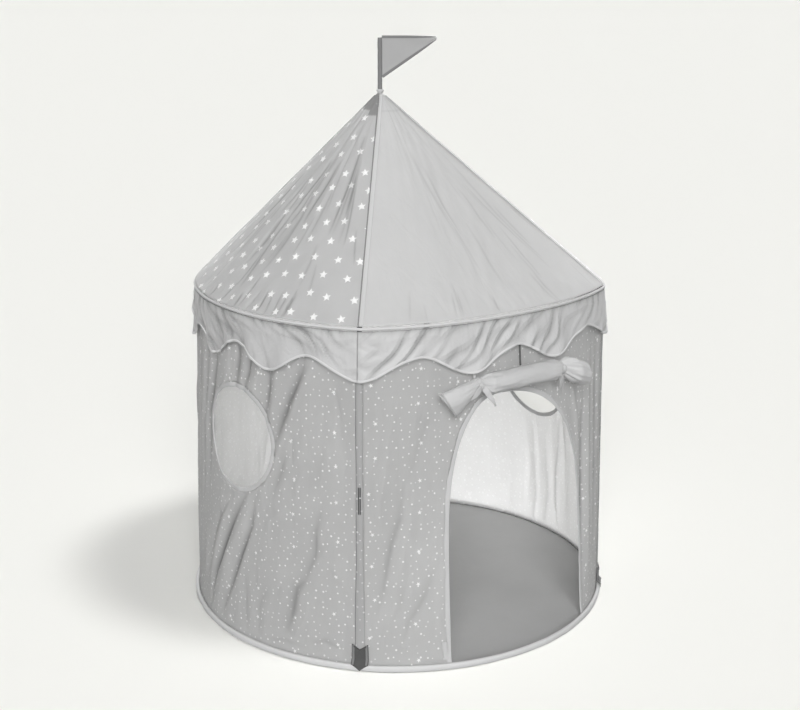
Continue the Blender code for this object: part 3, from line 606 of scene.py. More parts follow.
# Woven cotton tape: matt, with threads that are drawn coarser than real ones so that they show
TAPE = Cloth(
    "woven_cotton_binding_tape",
    "#DADADA",
    "#C9C9C9",
    weave=Weave(thread=0.0016, thread_depth=0.0002, crease=0.012, crease_depth=0.0008, stretch=(1.0, 1.0)),
)
PIPING = Cloth(
    "folded_polyester_piping",
    "#E4E4E4",
    "#D8D8D8",
    weave=Weave(thread=0.0018, thread_depth=0.00015, crease=0.02, crease_depth=0.0006),
)
# Coated oxford cloth: a coarse even weave under a thin film, dull and a little smoother
FLOOR_CLOTH = Cloth(
    "coated_oxford_floor_cloth",
    "#A9A9A9",
    "#A3A3A3",
    roughness=0.7,
    weave=Weave(thread=0.003, thread_depth=0.0001, crease=0.09, crease_depth=0.0014, stretch=(1.0, 1.0)),
)
# Nylon webbing cloth: dark and dense, with a slight shine on its threads
POCKET_CLOTH = Cloth(
    "dark_woven_nylon_patch",
    "#5C5C5C",
    "#454545",
    roughness=0.7,
    weave=Weave(thread=0.0018, thread_depth=0.0002, crease=0.02, crease_depth=0.0012),
)
# The door's unprinted back, rolled outwards: plain cloth with small creases along the roll
ROLL_CLOTH = Cloth(
    "plain_polyester_door_back",
    "#D4D4D4",
    "#CACACA",
    roughness=0.7,
    sheen=0.25,
    weave=Weave(crease=0.02, crease_depth=0.0014, stretch=(0.6, 1.0)),
)
FLAG_CLOTH = Cloth("woven_polyester_pennant", "#B4B4B4", "#ABABAB")
# Dark binding; the same material also paints the shadow along each pole band's seam
DARK_BINDING_AND_SEAM_SHADOW = Cloth("dark_polyester_binding", "#8C8C8C", "#7E7E7E")
DARK_TAPE = Cloth("dark_woven_tape", "#6A6A6A", "#5A5A5A")
# Pultruded glass fibre: smooth, pale, with fibres along its length
FIBRE_ROD = Solid("pultruded_glass_fibre", "#D9D8D2", "#C9C8C2", 0.38, grain=0.003, stretch=(1.0, 1.0, 0.08))
# Tempered spring steel: drawn wire with a thin oxide skin, which shines darkly
SPRING_WIRE = Solid("tempered_spring_steel", "#8E8F91", "#76777A", 0.34, 1.0, grain=0.002)
# Moulded nylon: black, half matt from the mould's fine etching
BLACK_NYLON = Solid("moulded_black_nylon", "#2C2C2C", "#242424", 0.48, grain=0.0012)
STUDIO_FLOOR = "matt_studio_floor"


@dataclass
class Crease:
    """One fold in flat cloth, along a line of (across, up) points, in metres.

    A negative depth is a valley. The fold is steeper on one side: a skew over 0 makes it steeper on
    the left of its line.
    """

    path: tuple[tuple[float, float], ...]
    depth: float
    width: float
    skew: float = 0.0

    def at(self, flat: np.ndarray) -> np.ndarray:
        """How far the cloth stands out because of this fold.

        Args:
            flat: Points of the flat cloth, one row each.

        Returns:
            One distance for each point.
        """
        corners = np.array(self.path)
        lengths = np.linalg.norm(np.diff(corners, axis=0), axis=1)
        total = lengths.sum()
        best = np.full(len(flat), np.inf)
        place, side = np.zeros(len(flat)), np.ones(len(flat))
        before = 0.0
        for a, b, length in zip(corners, corners[1:], lengths):
            along = (b - a) / length
            reach = np.clip((flat - a) @ along, 0.0, length)
            gap = flat - a - reach[:, None] * along
            away = np.linalg.norm(gap, axis=1)
            closer = away < best
            best = np.where(closer, away, best)
            place = np.where(closer, (before + reach) / total, place)
            side = np.where(closer, np.sign(along[0] * gap[:, 1] - along[1] * gap[:, 0]), side)
            before += length
        # It fades in and out along its length, and rounds off to its sides
        taper = np.sin(np.pi * np.clip(place, 0.03, 0.97)) ** 0.6
        width = self.width * (1.0 - self.skew * side)
        return self.depth * taper * np.exp(-((best / width) ** 1.3))


@dataclass
class Wrinkles:
    """Everything that moves a cloth off its smooth surface.

    A wave is a depth with its pitch across and up, and a valley of the depth full_shade_depth gets
    the full painted shade of a fold of three layers.
    """

    creases: list[Crease] = field(default_factory=list)
    waves: list[tuple[float, float, float]] = field(default_factory=list)
    seed: float = 0.0
    full_shade_depth: float = 0.0085

    def depth_at(self, flat: np.ndarray) -> np.ndarray:
        """How deep in a fold each point lies, as its share of painted shade.

        Args:
            flat: Points of the flat cloth, one row each.

        Returns:
            One share for each point, from 0 to 1.
        """
        deep = np.zeros(len(flat))
        for crease in self.creases:
            if crease.depth < 0:
                deep = np.maximum(deep, -crease.at(flat) / self.full_shade_depth)
        return np.clip(deep, 0.0, 1.0) ** 2.4

    def at(self, flat: np.ndarray) -> np.ndarray:
        """How far each point stands out, folds and soft waves together.

        Args:
            flat: Points of the flat cloth, one row each.

        Returns:
            One distance for each point.
        """
        out = np.zeros(len(flat))
        for crease in self.creases:
            out += crease.at(flat)
        for depth, across, up in self.waves:
            scaled = [
                noise.noise(Vector((x / across + self.seed, y / up, self.seed * 1.7))) for x, y in flat
            ]
            out += depth * np.array(scaled)
        return out


def scattered(
    rng: random.Random,
    count: int,
    box: tuple[float, float, float, float],
    lengths: tuple[float, float],
    depths: tuple[float, float],
    widths: tuple[float, float],
    lean: tuple[float, float],
) -> list[Crease]:
    """Folds at chance places of a cloth.

    Args:
        rng: The seeded source of chance.
        count: How many folds.
        box: The lowest and highest places across and up.
        lengths: The shortest and longest fold.
        depths: The shallowest and deepest.
        widths: The narrowest and widest.
        lean: The least and most lean from upright, in degrees.

    Returns:
        The folds.
    """
    made = []
    for _ in range(count):
        x, y = rng.uniform(box[0], box[2]), rng.uniform(box[1], box[3])
        half = rng.uniform(*lengths) / 2
        angle = math.radians(rng.uniform(*lean))
        dx, dy = half * math.sin(angle), half * math.cos(angle)
        depth = rng.uniform(*depths) * rng.choice((-1, 1))
        bow = rng.uniform(-0.12, 0.12) * half
        path = ((x - dx, y - dy), (x + bow, y), (x + dx, y + dy))
        made.append(Crease(path, depth, rng.uniform(*widths), rng.uniform(-0.35, 0.35)))
    return made


def grid_faces(rows: int, columns: int, closed: bool = False) -> list[tuple[int, int, int, int]]:
    """The faces of a grid whose points run row by row.

    Args:
        rows: How many faces there are up the grid.
        columns: How many there are across it.
        closed: Whether the last point of a row is followed by its first, as round a tube.

    Returns:
        The faces, each with its four corners in turn.
    """
    wide = columns if closed else columns + 1
    return [
        (j * wide + i, j * wide + (i + 1) % wide, (j + 1) * wide + (i + 1) % wide, (j + 1) * wide + i)
        for j in range(rows)
        for i in range(columns)
    ]


@dataclass
class FlatCut:
    """A flat cloth as a grid of points, with holes cut out of it."""

    low: tuple[float, float]
    high: tuple[float, float]
    columns: int
    rows: int
    holes: list[np.ndarray] = field(default_factory=list)

    def build(self) -> tuple[np.ndarray, list[tuple[int, ...]]]:
        """Makes the grid and cuts its holes.

        Returns:
            The points, and the faces as indices into them.
        """
        across = np.linspace(self.low[0], self.high[0], self.columns + 1)
        up = np.linspace(self.low[1], self.high[1], self.rows + 1)
        points = np.array([(x, y) for y in up for x in across])
        faces = grid_faces(self.rows, self.columns)
        for hole in self.holes:
            middles = points[np.array(faces)].mean(axis=1)
            gone = inside(middles, hole)
            kept = [face for face, out in zip(faces, gone) if not out]
            lost = {i for face, out in zip(faces, gone) if out for i in face}
            for index in {i for face in kept for i in face} & lost:
                points[index] = nearest(points[index], hole)
            faces = kept
        used = sorted({i for face in faces for i in face})
        place = {old: new for new, old in enumerate(used)}
        return points[used], [tuple(place[i] for i in face) for face in faces]


def inside(points: np.ndarray, outline: np.ndarray) -> np.ndarray:
    """Finds the points that lie inside a closed outline.

    Args:
        points: The points, one row each.
        outline: The outline's corners.

    Returns:
        Whether each point is inside.
    """
    found = np.zeros(len(points), bool)
    for (x1, y1), (x2, y2) in zip(outline, np.roll(outline, -1, axis=0)):
        if y1 == y2:
            continue
        crosses = (y1 > points[:, 1]) != (y2 > points[:, 1])
        at = (x2 - x1) * (points[:, 1] - y1) / (y2 - y1) + x1
        found ^= crosses & (points[:, 0] < at)
    return found


def nearest(point: np.ndarray, outline: np.ndarray) -> np.ndarray:
    """The place on a closed outline that is nearest to a point.

    Args:
        point: The point.
        outline: The outline's corners.

    Returns:
        The place.
    """
    ends = np.roll(outline, -1, axis=0)
    along = ends - outline
    share = np.clip(((point - outline) * along).sum(1) / (along * along).sum(1), 0.0, 1.0)
    places = outline + share[:, None] * along
    return places[np.argmin(((places - point) ** 2).sum(1))]


def link(obj: Object) -> Object:
    """Puts a new object in the scene."""
    bpy.context.scene.collection.objects.link(obj)
    return obj


def cloth_object(
    name: str,
    points: Sequence[Sequence[float]],
    faces: Sequence[Sequence[int]],
    flat: Sequence[Sequence[float]],
    outer: Cloth,
    inner: Cloth | None = None,
    thickness: float = 0.0008,
    offset: float = -1.0,
    folds: Sequence[float] | None = None,
) -> Object:
    """A cloth with a thickness, from its points in place and its points laid flat.

    Args:
        name: The piece's name.
        points: The points in place.
        faces: The faces, with their front to the outside.
        flat: The same points on the flat cloth, for the print and the weave.
        outer: The finish of the front.
        inner: The finish of the back, if it differs.
        thickness: How thick the cloth is.
        offset: Where the thickness goes: -1 behind the points, 1 in front.
        folds: How much painted shade each point has, from 0 to 1, most in the depth of a fold.

    Returns:
        The new object.
    """
    mesh = bpy.data.meshes.new(name)
    mesh.from_pydata([tuple(p) for p in points], [], [tuple(f) for f in faces])
    layer = mesh.uv_layers.new(name=FLAT)
    index = np.array([loop.vertex_index for loop in mesh.loops])
    layer.data.foreach_set("uv", np.array(flat)[index].astype(np.float32).ravel())
    if folds is not None:
        depths = np.array(folds).astype(np.float32)
        mesh.attributes.new(FOLD, "FLOAT", "POINT").data.foreach_set("value", depths)
    for finish in (outer, inner):
        if finish is not None:
            mesh.materials.append(finish.build())
    obj = link(bpy.data.objects.new(name, mesh))
    shell = obj.modifiers.new("thickness", "SOLIDIFY")
    shell.thickness = thickness
    shell.offset = offset
    shell.use_even_offset = False
    if inner is not None:
        shell.material_offset = 1
    settle(obj)
    obj.data.shade_smooth()
    return obj


def settle(obj: Object) -> None:
    """Applies an object's modifiers to its mesh.

    Args:
        obj: The object.
    """
    graph = bpy.context.evaluated_depsgraph_get()
    mesh = bpy.data.meshes.new_from_object(obj.evaluated_get(graph))
    obj.modifiers.clear()
    obj.data = mesh


def swept(
    name: str,
    centres: Sequence[Vector],
    sides: Sequence[Vector],
    ups: Sequence[Vector],
    section: Sequence[tuple[float, float]],
    finish: Cloth,
    closed: bool,
    scale: Callable[[float], float] = lambda share: 1.0,
) -> Object:
    """A tape, tube or strip: a section carried along a path.

    Args:
        name: The piece's name.
        centres: The points of the path.
        sides: The direction of the section's first axis at each point.
        ups: The direction of its second axis.
        section: The section's points, anticlockwise seen against the path.
        finish: The cloth it is made of.
        closed: Whether the path's end joins its start.
        scale: How wide the section is along the path, by its share from 0 to 1.

    Returns:
        The new object.
    """
    count, around = len(centres), len(section)
    points, flat = [], []
    travelled = 0.0
    for i, (centre, side, up) in enumerate(zip(centres, sides, ups)):
        travelled += (centre - centres[i - 1]).length if i else 0.0
        size = scale(i / (count - 1))
        turn = 0.0
        for k, (a, b) in enumerate(section):
            points.append(tuple(centre + side * (a * size) + up * (b * size)))
            turn += math.dist(section[k], section[k - 1]) if k else 0.0
            flat.append((travelled, turn))
    faces = []
    for i in range(count if closed else count - 1):
        j = (i + 1) % count
        for k in range(around):
            m = (k + 1) % around
            faces.append((i * around + k, i * around + m, j * around + m, j * around + k))
    if not closed:
        faces.append(tuple(range(around))[::-1])
        faces.append(tuple((count - 1) * around + k for k in range(around)))
    mesh = bpy.data.meshes.new(name)
    mesh.from_pydata(points, [], faces)
    layer = mesh.uv_layers.new(name=FLAT)
    for loop in mesh.loops:
        layer.data[loop.index].uv = flat[loop.vertex_index]
    bm = bmesh.new()
    bm.from_mesh(mesh)
    bmesh.ops.recalc_face_normals(bm, faces=bm.faces)
    bm.to_mesh(mesh)
    bm.free()
    mesh.materials.append(finish.build())
    obj = link(bpy.data.objects.new(name, mesh))
    mesh.shade_smooth()
    mesh.set_sharp_from_angle(angle=math.radians(60.0))
    return obj


def pad_section(
    width: float, thickness: float, across: float = 0.5, up: float = 0.8, count: int = 12
) -> list[tuple[float, float]]:
    """The section of a tape or a tube: an oval, anticlockwise.

    Args:
        width: How wide it is.
        thickness: How thick it is.
        across: A power that is 1 for an ellipse, and makes the oval's ends squarer below that.
        up: The same for its faces.
        count: How many points it has.

    Returns:
        The points.
    """
    made = []
    for i in range(count):
        turn = 2 * math.pi * i / count
        a, b = math.cos(turn), math.sin(turn)
        x = math.copysign(abs(a) ** across, a) * width / 2
        y = math.copysign(abs(b) ** up, b) * thickness / 2
        made.append((x, y))
    return made


class Body(Enum):
    """The bodies that pieces of the scene ride on."""

    BASE = "base"
    TOP = "top"
    FLAG = "flag"


# The shares of their heights that the wall and the sleeves keep when the ring has sunk all the way
WALL_KEEP = 0.3560
SLEEVE_KEEP = 0.3044


def attach(
    obj: Object, body: Body, nodes: Sequence[str] = (), keep: float | None = None
) -> Object:
    """Fixes a piece to its body and tells the log.

    Args:
        obj: The piece.
        body: The body it rides on.
        nodes: The CAD nodes that it stands for.
        keep: The share of its height that it keeps when the tent is folded, for cloth that crumples. Only
            whether it is given is read: the piece then gets a mesh of its own.

    Returns:
        The piece.
    """
    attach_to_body(obj, body.value)
    if nodes:
        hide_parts(*nodes)
    if keep is not None:
        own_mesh(obj)
    LOG.info("%s: %d points on %s", obj.name, len(obj.data.vertices), body.value)
    return obj


def smoothstep(values: np.ndarray) -> np.ndarray:
    """A soft step from 0 at 0 to 1 at 1, for each value."""
    held = np.clip(values, 0.0, 1.0)
    return held * held * (3 - 2 * held)


def smooth(value: float) -> float:
    """The same soft step for one number."""
    return float(smoothstep(np.array(value)))


def evened(points: np.ndarray, step: float, closed: bool) -> np.ndarray:
    """The same line with points at even distances.

    Args:
        points: The line's corners.
        step: About how far apart the new points are.
        closed: Whether its end joins its start.

    Returns:
        The new points.
    """
    line = np.vstack([points, points[:1]]) if closed else points
    lengths = np.concatenate([[0.0], np.cumsum(np.linalg.norm(np.diff(line, axis=0), axis=1))])
    count = max(int(lengths[-1] / step), 8)
    at = np.linspace(0.0, lengths[-1], count + 1)
    made = np.column_stack([np.interp(at, lengths, line[:, k]) for k in range(line.shape[1])])
    return made[:-1] if closed else made


def tape_along(
    name: str,
    points: Sequence[Vector],
    ups: Sequence[Vector],
    section: Sequence[tuple[float, float]],
    finish: Cloth,
    closed: bool = False,
    shift: float = 0.0,
    scale: Callable[[float], float] = lambda share: 1.0,
) -> Object:
    """A tape along a line on a surface.

    Args:
        name: The piece's name.
        points: The line.
        ups: The direction away from the surface at each point.
        section: The tape's section: across the line, and away from the surface.
        finish: Its cloth.
        closed: Whether the line is a ring.
        shift: How far the tape lies to the side of the line.
        scale: Its width along the line, by the share from 0 to 1.

    Returns:
        The new object.
    """
    count = len(points)
    sides, centres, square = [], [], []
    for i, (point, up) in enumerate(zip(points, ups)):
        after = points[(i + 1) % count] if closed or i + 1 < count else point
        before = points[i - 1] if closed or i else point
        along = (after - before).normalized()
        side = along.cross(up).normalized()
        sides.append(side)
        square.append(side.cross(along).normalized())
        centres.append(point + side * shift)
    return swept(name, centres, sides, square, section, finish, closed, scale)


@dataclass
class DoorArch:
    """The doorway's outline as it is seen from in front, in metres.

    Its upright sides end at the spring, its crown lies aside by the offset, and a roundness over 2
    makes the arch squarer than an ellipse.
    """

    left: float = 0.186
    right: float = 0.213
    crown: float = 0.610
    spring: float = 0.300
    offset: float = -0.040
    roundness: float = 2.2
    steps: int = 40

    def outline(self, start: float) -> np.ndarray:
        """The arch on the flat panel, from its left foot round to its right.

        Args:
            start: The direction of the panel's left edge, in degrees.

        Returns:
            Points of (across, up).
        """
        seen = [(-self.left, 0.0), (-self.left, self.spring * 0.5)]
        for side, reach in ((-1.0, self.left + self.offset), (1.0, self.right - self.offset)):
            arc = []
            for i in range(self.steps + 1):
                angle = math.pi / 2 * i / self.steps
                out = math.cos(angle) ** (2 / self.roundness)
                up = math.sin(angle) ** (2 / self.roundness)
                rise = (self.crown - self.spring) * up
                arc.append((self.offset + side * reach * out, self.spring + rise))
            seen += arc if side < 0 else arc[-2::-1]
        seen += [(self.right, self.spring * 0.5), (self.right, 0.0)]
        flat = [(math.radians(SHAPE.angle_of(x, z) - start) * SHAPE.radius, z) for x, z in seen]
        return np.array(flat)


@dataclass
class RoundWindow:
    """A round window: its direction in degrees, its height and radius."""

    angle: float
    height: float
    radius: float = 0.1225
    steps: int = 96

    def outline(self, start: float) -> np.ndarray:
        """The window on the flat panel.

        Args:
            start: The direction of the panel's left edge, in degrees.

        Returns:
            Points of (across, up), anticlockwise.
        """
        made = []
        for i in range(self.steps):
            turn = 2 * math.pi * i / self.steps
            z = self.height + self.radius * math.sin(turn)
            offset = math.asin(self.radius * math.cos(turn) / SHAPE.wall(self.angle, z))
            place = math.radians((self.angle - start) % 360.0) + offset
            made.append((place * SHAPE.radius, z))
        return np.array(made)


@dataclass
class WallPanel:
    """One of the four panels of the wall, with its folds, openings and bindings.

    The cloth is held flat over the ease along its edges, a ridge stands out by most_out at most
    below the valance and by less behind it, and the bindings reach over the cloth by the edge.
    """

    panel: Panel
    wrinkles: Wrinkles
    arch: DoorArch | None = None
    window: RoundWindow | None = None
    cell: float = 0.005
    seam: float = 0.0067
    ease: float = 0.030
    bias: float = 0.0025
    cloth: float = 0.0009
    door_tape: float = 0.0110
    window_tape: float = 0.0105
    tape_thickness: float = 0.0026
    edge: float = 0.0012
    print_shift: tuple[float, float] = (0.026, -0.037)
    most_out: float = 0.0060
    less_out: float = 0.0050
    calm_from: float = 0.49
    calm_over: float = 0.06
    fold_shade_share: float = 0.55
    taper_from: float = 0.03
    taper_over: float = 0.30

    @property
    def width(self) -> float:
        """The panel's width from pole to pole."""
        return SHAPE.radius * math.radians(SHAPE.span)

    def outwards(self, flat: np.ndarray) -> np.ndarray:
        """How far each point of the cloth stands out from the plain wall.

        Args:
            flat: Points of the flat cloth.

        Returns:
            One distance for each point.
        """
        from_side = np.minimum(flat[:, 0], self.width - flat[:, 0]) - self.seam
        held = smoothstep(from_side / self.ease)
        held *= smoothstep((flat[:, 1] - SHAPE.wall_low) / self.ease)
        held *= smoothstep((SHAPE.wall_high - flat[:, 1]) / (1.6 * self.ease))
        out = held * (self.wrinkles.at(flat) - self.bias)
        most = self.most_out - self.less_out * smoothstep((flat[:, 1] - self.calm_from) / self.calm_over)
        return np.where(out > 0, most * np.tanh(np.maximum(out, 0.0) / most), out)

    def place(self, flat: np.ndarray, lift: float = 0.0) -> list[Vector]:
        """The points in place.

        Args:
            flat: Points of the flat cloth.
            lift: How far outside the cloth's outer face they are.

        Returns:
            One point each.
        """
        made = []
        for (x, z), out in zip(flat, self.outwards(flat)):
            degrees = self.panel.value + math.degrees(x / SHAPE.radius)
            made.append(polar(SHAPE.wall(degrees, z) + out + lift, degrees, z))
        return made

    def facing(self, flat: np.ndarray) -> list[Vector]:
        """The direction out of the wall at each point."""
        return [polar(1.0, self.panel.value + math.degrees(x / SHAPE.radius), 0.0) for x, _ in flat]

    def build(self) -> None:
        """Builds the panel with the bindings of its openings."""
        name = f"wall_{self.panel.name.lower()}"
        holes = []
        if self.arch is not None:
            holes.append(self.arch.outline(self.panel.value))
        if self.window is not None:
            holes.append(self.window.outline(self.panel.value))
        low, high = (self.seam, SHAPE.wall_low), (self.width - self.seam, SHAPE.wall_high)
        columns = round((high[0] - low[0]) / self.cell)
        rows = round((high[1] - low[1]) / self.cell)
        is_door = self.arch is not None
        # The doorway's cut runs on below the cloth
        below = [(holes[0][k][0], -0.05) for k in (-1, 0)] if is_door else []
        cut = [np.vstack([hole, below]) if is_door else hole for hole in holes]
        flat, faces = FlatCut(low, high, columns, rows, cut).build()
        printed = flat + np.array(self.print_shift)
        # The painted shade in the depth of the folds
        deep = self.fold_shade_share * self.wrinkles.depth_at(flat)
        points = self.place(flat)
        panel = cloth_object(name, points, faces, printed, WALL_CLOTH, WALL_LINING, self.cloth, folds=deep)
        attach(panel, Body.BASE, [name], WALL_KEEP)
        going = []
        for hole in holes:
            going.append(self.binding(f"{name}_binding", hole, is_door))
            if is_door:
                going += self.door_foot(hole)
        area = (high[0] - low[0]) * (high[1] - low[1])
        for hole in cut:
            x, y = hole[:, 0], np.maximum(hole[:, 1], SHAPE.wall_low)
            area -= abs(float(x @ np.roll(y, 1) - y @ np.roll(x, 1))) / 2

    def binding(self, name: str, hole: np.ndarray, is_door: bool) -> Object:
        """The light tape that is folded round an opening's edge.

        Args:
            name: The piece's name.
            hole: The opening's outline on the flat cloth.
            is_door: Whether it is the doorway, which is open at its foot.

        Returns:
            The tape.
        """
        line = evened(hole, self.cell * 0.8, not is_door)
        middle = hole.mean(axis=0)
        inwards = middle - line
        inwards /= np.linalg.norm(inwards, axis=1)[:, None]
        width = self.door_tape if is_door else self.window_tape
        cover = np.full(len(line), width - 2 * self.edge)
        if is_door:
            # The tape's seam comes nearer to the opening's edge at the foot
            cover *= np.clip((line[:, 1] - self.taper_from) / self.taper_over, 0.0, 1.0)
        line = line + inwards * cover[:, None]
        if is_door:
            line[:, 1] = np.maximum(line[:, 1], SHAPE.wall_low)
        points = self.place(line, -self.cloth / 2)
        facing = self.facing(line)
        along = line[1] - line[0]
        outside = np.array([along[1], -along[0]])
        away = 1.0 if float(outside @ (line[0] - middle)) > 0 else -1.0
        section = pad_section(width, self.tape_thickness)
        shift = away * (width / 2 - self.edge)
        tape = tape_along(name, points, facing, section, TAPE, not is_door, shift)
        return attach(tape, Body.BASE, keep=WALL_KEEP)

    def door_foot(self, hole: np.ndarray) -> list[Object]:
        """The end of the door's tape, turned over at its left foot.

        Args:
            hole: The doorway's outline on the flat cloth.

        Returns:
            The piece.
        """
        x = hole[0][0] - self.door_tape - 0.0005
        low, high = (x - 0.0010, 0.021), (x - 0.0045, 0.063)
        line = np.linspace(low, high, 9)
        section = pad_section(0.0105, 0.0016)
        places, facing = self.place(line, 0.0010), self.facing(line)
        # Its folded corner is narrower than its free end
        tape = tape_along(
            "door_tape_end", places, facing, section, TAPE, scale=lambda share: 0.75 + 0.35 * share
        )
        return [attach(tape, Body.BASE, keep=WALL_KEEP)]


@dataclass
class Walls:
    """The four panels of the wall and the pole sleeves at their seams.

    A sleeve is the tube inside the wall, and a band is its outer face. The band stands band_rise
    out over the pole and is narrower above than at its foot.
    """

    seed: int = 7
    band_width: float = 0.0230
    band_narrowing: float = 0.36
    band_low: float = 0.016
    band_rise: float = 0.0026
    band_gap: float = 0.0004
    # The width of the painted shadow along the band's seam
    seam_shadow_width: float = 0.0014
    band_cloth: float = 0.0006
    sleeve_radius: float = 0.0068
    sleeve_slack: float = 0.0003
    sleeve_wall: float = 0.0007
    sleeve_low: float = 0.040
    sleeve_high: float = 0.7435

    def left_wrinkles(self) -> Wrinkles:
        """Long slanting folds, from the upper right of the panel to its lower left.

        Returns:
            The folds and waves.
        """
        rng = random.Random(self.seed)
        below_window = ((0.484, 0.36), (0.423, 0.262), (0.379, 0.177), (0.349, 0.126), (0.31, 0.02))
        named = [
            Crease(((0.66, 0.71), (0.651, 0.66), (0.62, 0.597), (0.565, 0.467)), -0.0085, 0.012, 0.35),
            Crease(((0.68, 0.70), (0.665, 0.64), (0.64, 0.59), (0.60, 0.49)), 0.0060, 0.016, 0.2),
            Crease(((0.57, 0.70), (0.556, 0.607), (0.54, 0.52)), -0.0075, 0.010, 0.2),
            Crease(((0.535, 0.71), (0.52, 0.63), (0.505, 0.60)), 0.0050, 0.010),
            Crease(((0.505, 0.72), (0.485, 0.632), (0.46, 0.575)), -0.0080, 0.008, 0.2),
            Crease(((0.455, 0.73), (0.445, 0.643), (0.43, 0.57)), -0.0075, 0.011, -0.2),
            Crease(((0.41, 0.73), (0.40, 0.64), (0.395, 0.60)), 0.0060, 0.012),
            Crease(((0.35, 0.73), (0.345, 0.63), (0.30, 0.50), (0.29, 0.30)), -0.0080, 0.013),
            Crease(((0.29, 0.72), (0.28, 0.60), (0.25, 0.45), (0.24, 0.25)), -0.0070, 0.010),
            Crease(((0.315, 0.72), (0.312, 0.60), (0.27, 0.45)), 0.0050, 0.010),
            Crease(((0.22, 0.73), (0.21, 0.55), (0.20, 0.30), (0.19, 0.08)), -0.0070, 0.012),
            Crease(((0.15, 0.74), (0.14, 0.45), (0.13, 0.08)), 0.0060, 0.014),
            Crease(((0.09, 0.70), (0.10, 0.40), (0.09, 0.10)), -0.0055, 0.012),
            Crease(below_window, -0.0095, 0.010, 0.35),
            Crease(((0.51, 0.34), (0.445, 0.25), (0.40, 0.165), (0.36, 0.07)), 0.0055, 0.014),
            Crease(((0.515, 0.37), (0.497, 0.28), (0.446, 0.168), (0.38, 0.026)), -0.0085, 0.009, 0.35),
            Crease(((0.44, 0.35), (0.39, 0.27), (0.35, 0.18), (0.31, 0.10)), 0.0050, 0.012),
            Crease(((0.42, 0.33), (0.35, 0.24), (0.29, 0.10)), -0.0050, 0.012),
            Crease(((0.61, 0.50), (0.59, 0.428), (0.555, 0.35)), -0.0050, 0.013, 0.2),
            Crease(((0.619, 0.52), (0.622, 0.45)), -0.0030, 0.005),
            Crease(((0.70, 0.38), (0.682, 0.307), (0.684, 0.255), (0.645, 0.168)), -0.0055, 0.012, 0.3),
            Crease(((0.73, 0.29), (0.688, 0.255), (0.658, 0.193), (0.62, 0.10)), 0.0045, 0.012, -0.3),
            Crease(((0.672, 0.206), (0.63, 0.165), (0.624, 0.12), (0.60, 0.04)), -0.0065, 0.018, 0.2),
            Crease(((0.656, 0.44), (0.633, 0.408), (0.63, 0.36)), 0.0028, 0.005),
            Crease(((0.603, 0.347), (0.56, 0.314), (0.55, 0.27)), 0.0028, 0.006),
            Crease(((0.476, 0.17), (0.476, 0.02)), -0.0040, 0.010),
            Crease(((0.55, 0.16), (0.52, 0.09), (0.52, 0.02)), -0.0045, 0.014),
            Crease(((0.716, 0.242), (0.75, 0.193), (0.772, 0.161)), 0.0032, 0.005),
            Crease(((0.547, 0.030), (0.60, 0.045), (0.66, 0.038)), 0.0035, 0.006),
            Crease(((0.66, 0.040), (0.70, 0.055), (0.745, 0.035)), -0.0045, 0.008),
            Crease(((0.726, 0.66), (0.741, 0.582), (0.745, 0.50)), -0.0035, 0.007),
            Crease(((0.72, 0.52), (0.70, 0.44), (0.70, 0.40)), 0.0035, 0.012),
        ]
        box = (0.05, 0.05, 0.74, 0.74)
        named += scattered(rng, 30, box, (0.06, 0.22), (0.0012, 0.0028), (0.005, 0.011), (8, 38))
        return Wrinkles(named, [(0.004, 0.10, 0.4), (0.0016, 0.035, 0.16), (0.0007, 0.014, 0.03)], 3.1)

    def door_wrinkles(self) -> Wrinkles:
        """Softer folds beside the doorway, and deep upright ones to its right.

        Returns:
            The folds and waves.
        """
        rng = random.Random(self.seed + 1)
        beside_pole = ((0.10, 0.45), (0.089, 0.349), (0.069, 0.289), (0.048, 0.169), (0.031, 0.113))
        named = [
            Crease(beside_pole, -0.0055, 0.011, 0.3),
            Crease(((0.12, 0.40), (0.10, 0.28), (0.075, 0.17), (0.06, 0.06)), 0.0040, 0.015),
            Crease(((0.075, 0.60), (0.055, 0.45), (0.035, 0.30)), 0.0030, 0.012),
            Crease(((0.165, 0.60), (0.13, 0.50), (0.10, 0.42)), -0.0035, 0.013),
            Crease(((0.17, 0.24), (0.145, 0.17), (0.11, 0.11), (0.09, 0.05)), -0.0045, 0.012, 0.2),
            Crease(((0.13, 0.08), (0.09, 0.045)), 0.0028, 0.006),
            Crease(((0.663, 0.547), (0.650, 0.38), (0.639, 0.236), (0.635, 0.05)), -0.0080, 0.010, 0.2),
            Crease(((0.693, 0.60), (0.680, 0.40), (0.670, 0.235), (0.668, 0.06)), 0.0065, 0.012),
            Crease(((0.745, 0.66), (0.748, 0.45), (0.742, 0.205), (0.735, 0.05)), -0.0080, 0.010),
            Crease(((0.715, 0.68), (0.712, 0.40), (0.700, 0.10)), -0.0040, 0.007),
            Crease(((0.60, 0.60), (0.62, 0.50), (0.628, 0.42)), 0.0040, 0.009),
        ]
        box = (0.03, 0.05, 0.75, 0.74)
        named += scattered(rng, 22, box, (0.06, 0.20), (0.0010, 0.0024), (0.005, 0.010), (-30, 26))
        return Wrinkles(named, [(0.0030, 0.09, 0.4), (0.0012, 0.03, 0.16), (0.0006, 0.014, 0.03)], 8.4)

    def far_wrinkles(self, seed: int) -> Wrinkles:
        """Soft upright folds of a panel that shows its inside through the doorway.

        Args:
            seed: Chooses the panel's own chance folds.

        Returns:
            The folds and waves.
        """
        rng = random.Random(self.seed + seed)
        folded, smooth_part = (0.12, 0.05, 0.52, 0.60), (0.50, 0.05, 0.76, 0.74)
        named = scattered(rng, 15, folded, (0.25, 0.55), (0.0030, 0.0070), (0.005, 0.013), (-9, 9))
        named += scattered(rng, 16, folded, (0.10, 0.30), (0.0012, 0.0030), (0.004, 0.009), (-25, 25))
        named += scattered(rng, 9, smooth_part, (0.10, 0.30), (0.0008, 0.0020), (0.006, 0.012), (-25, 25))
        return Wrinkles(named, [(0.0030, 0.075, 0.5), (0.0010, 0.03, 0.18)], seed * 2.3)

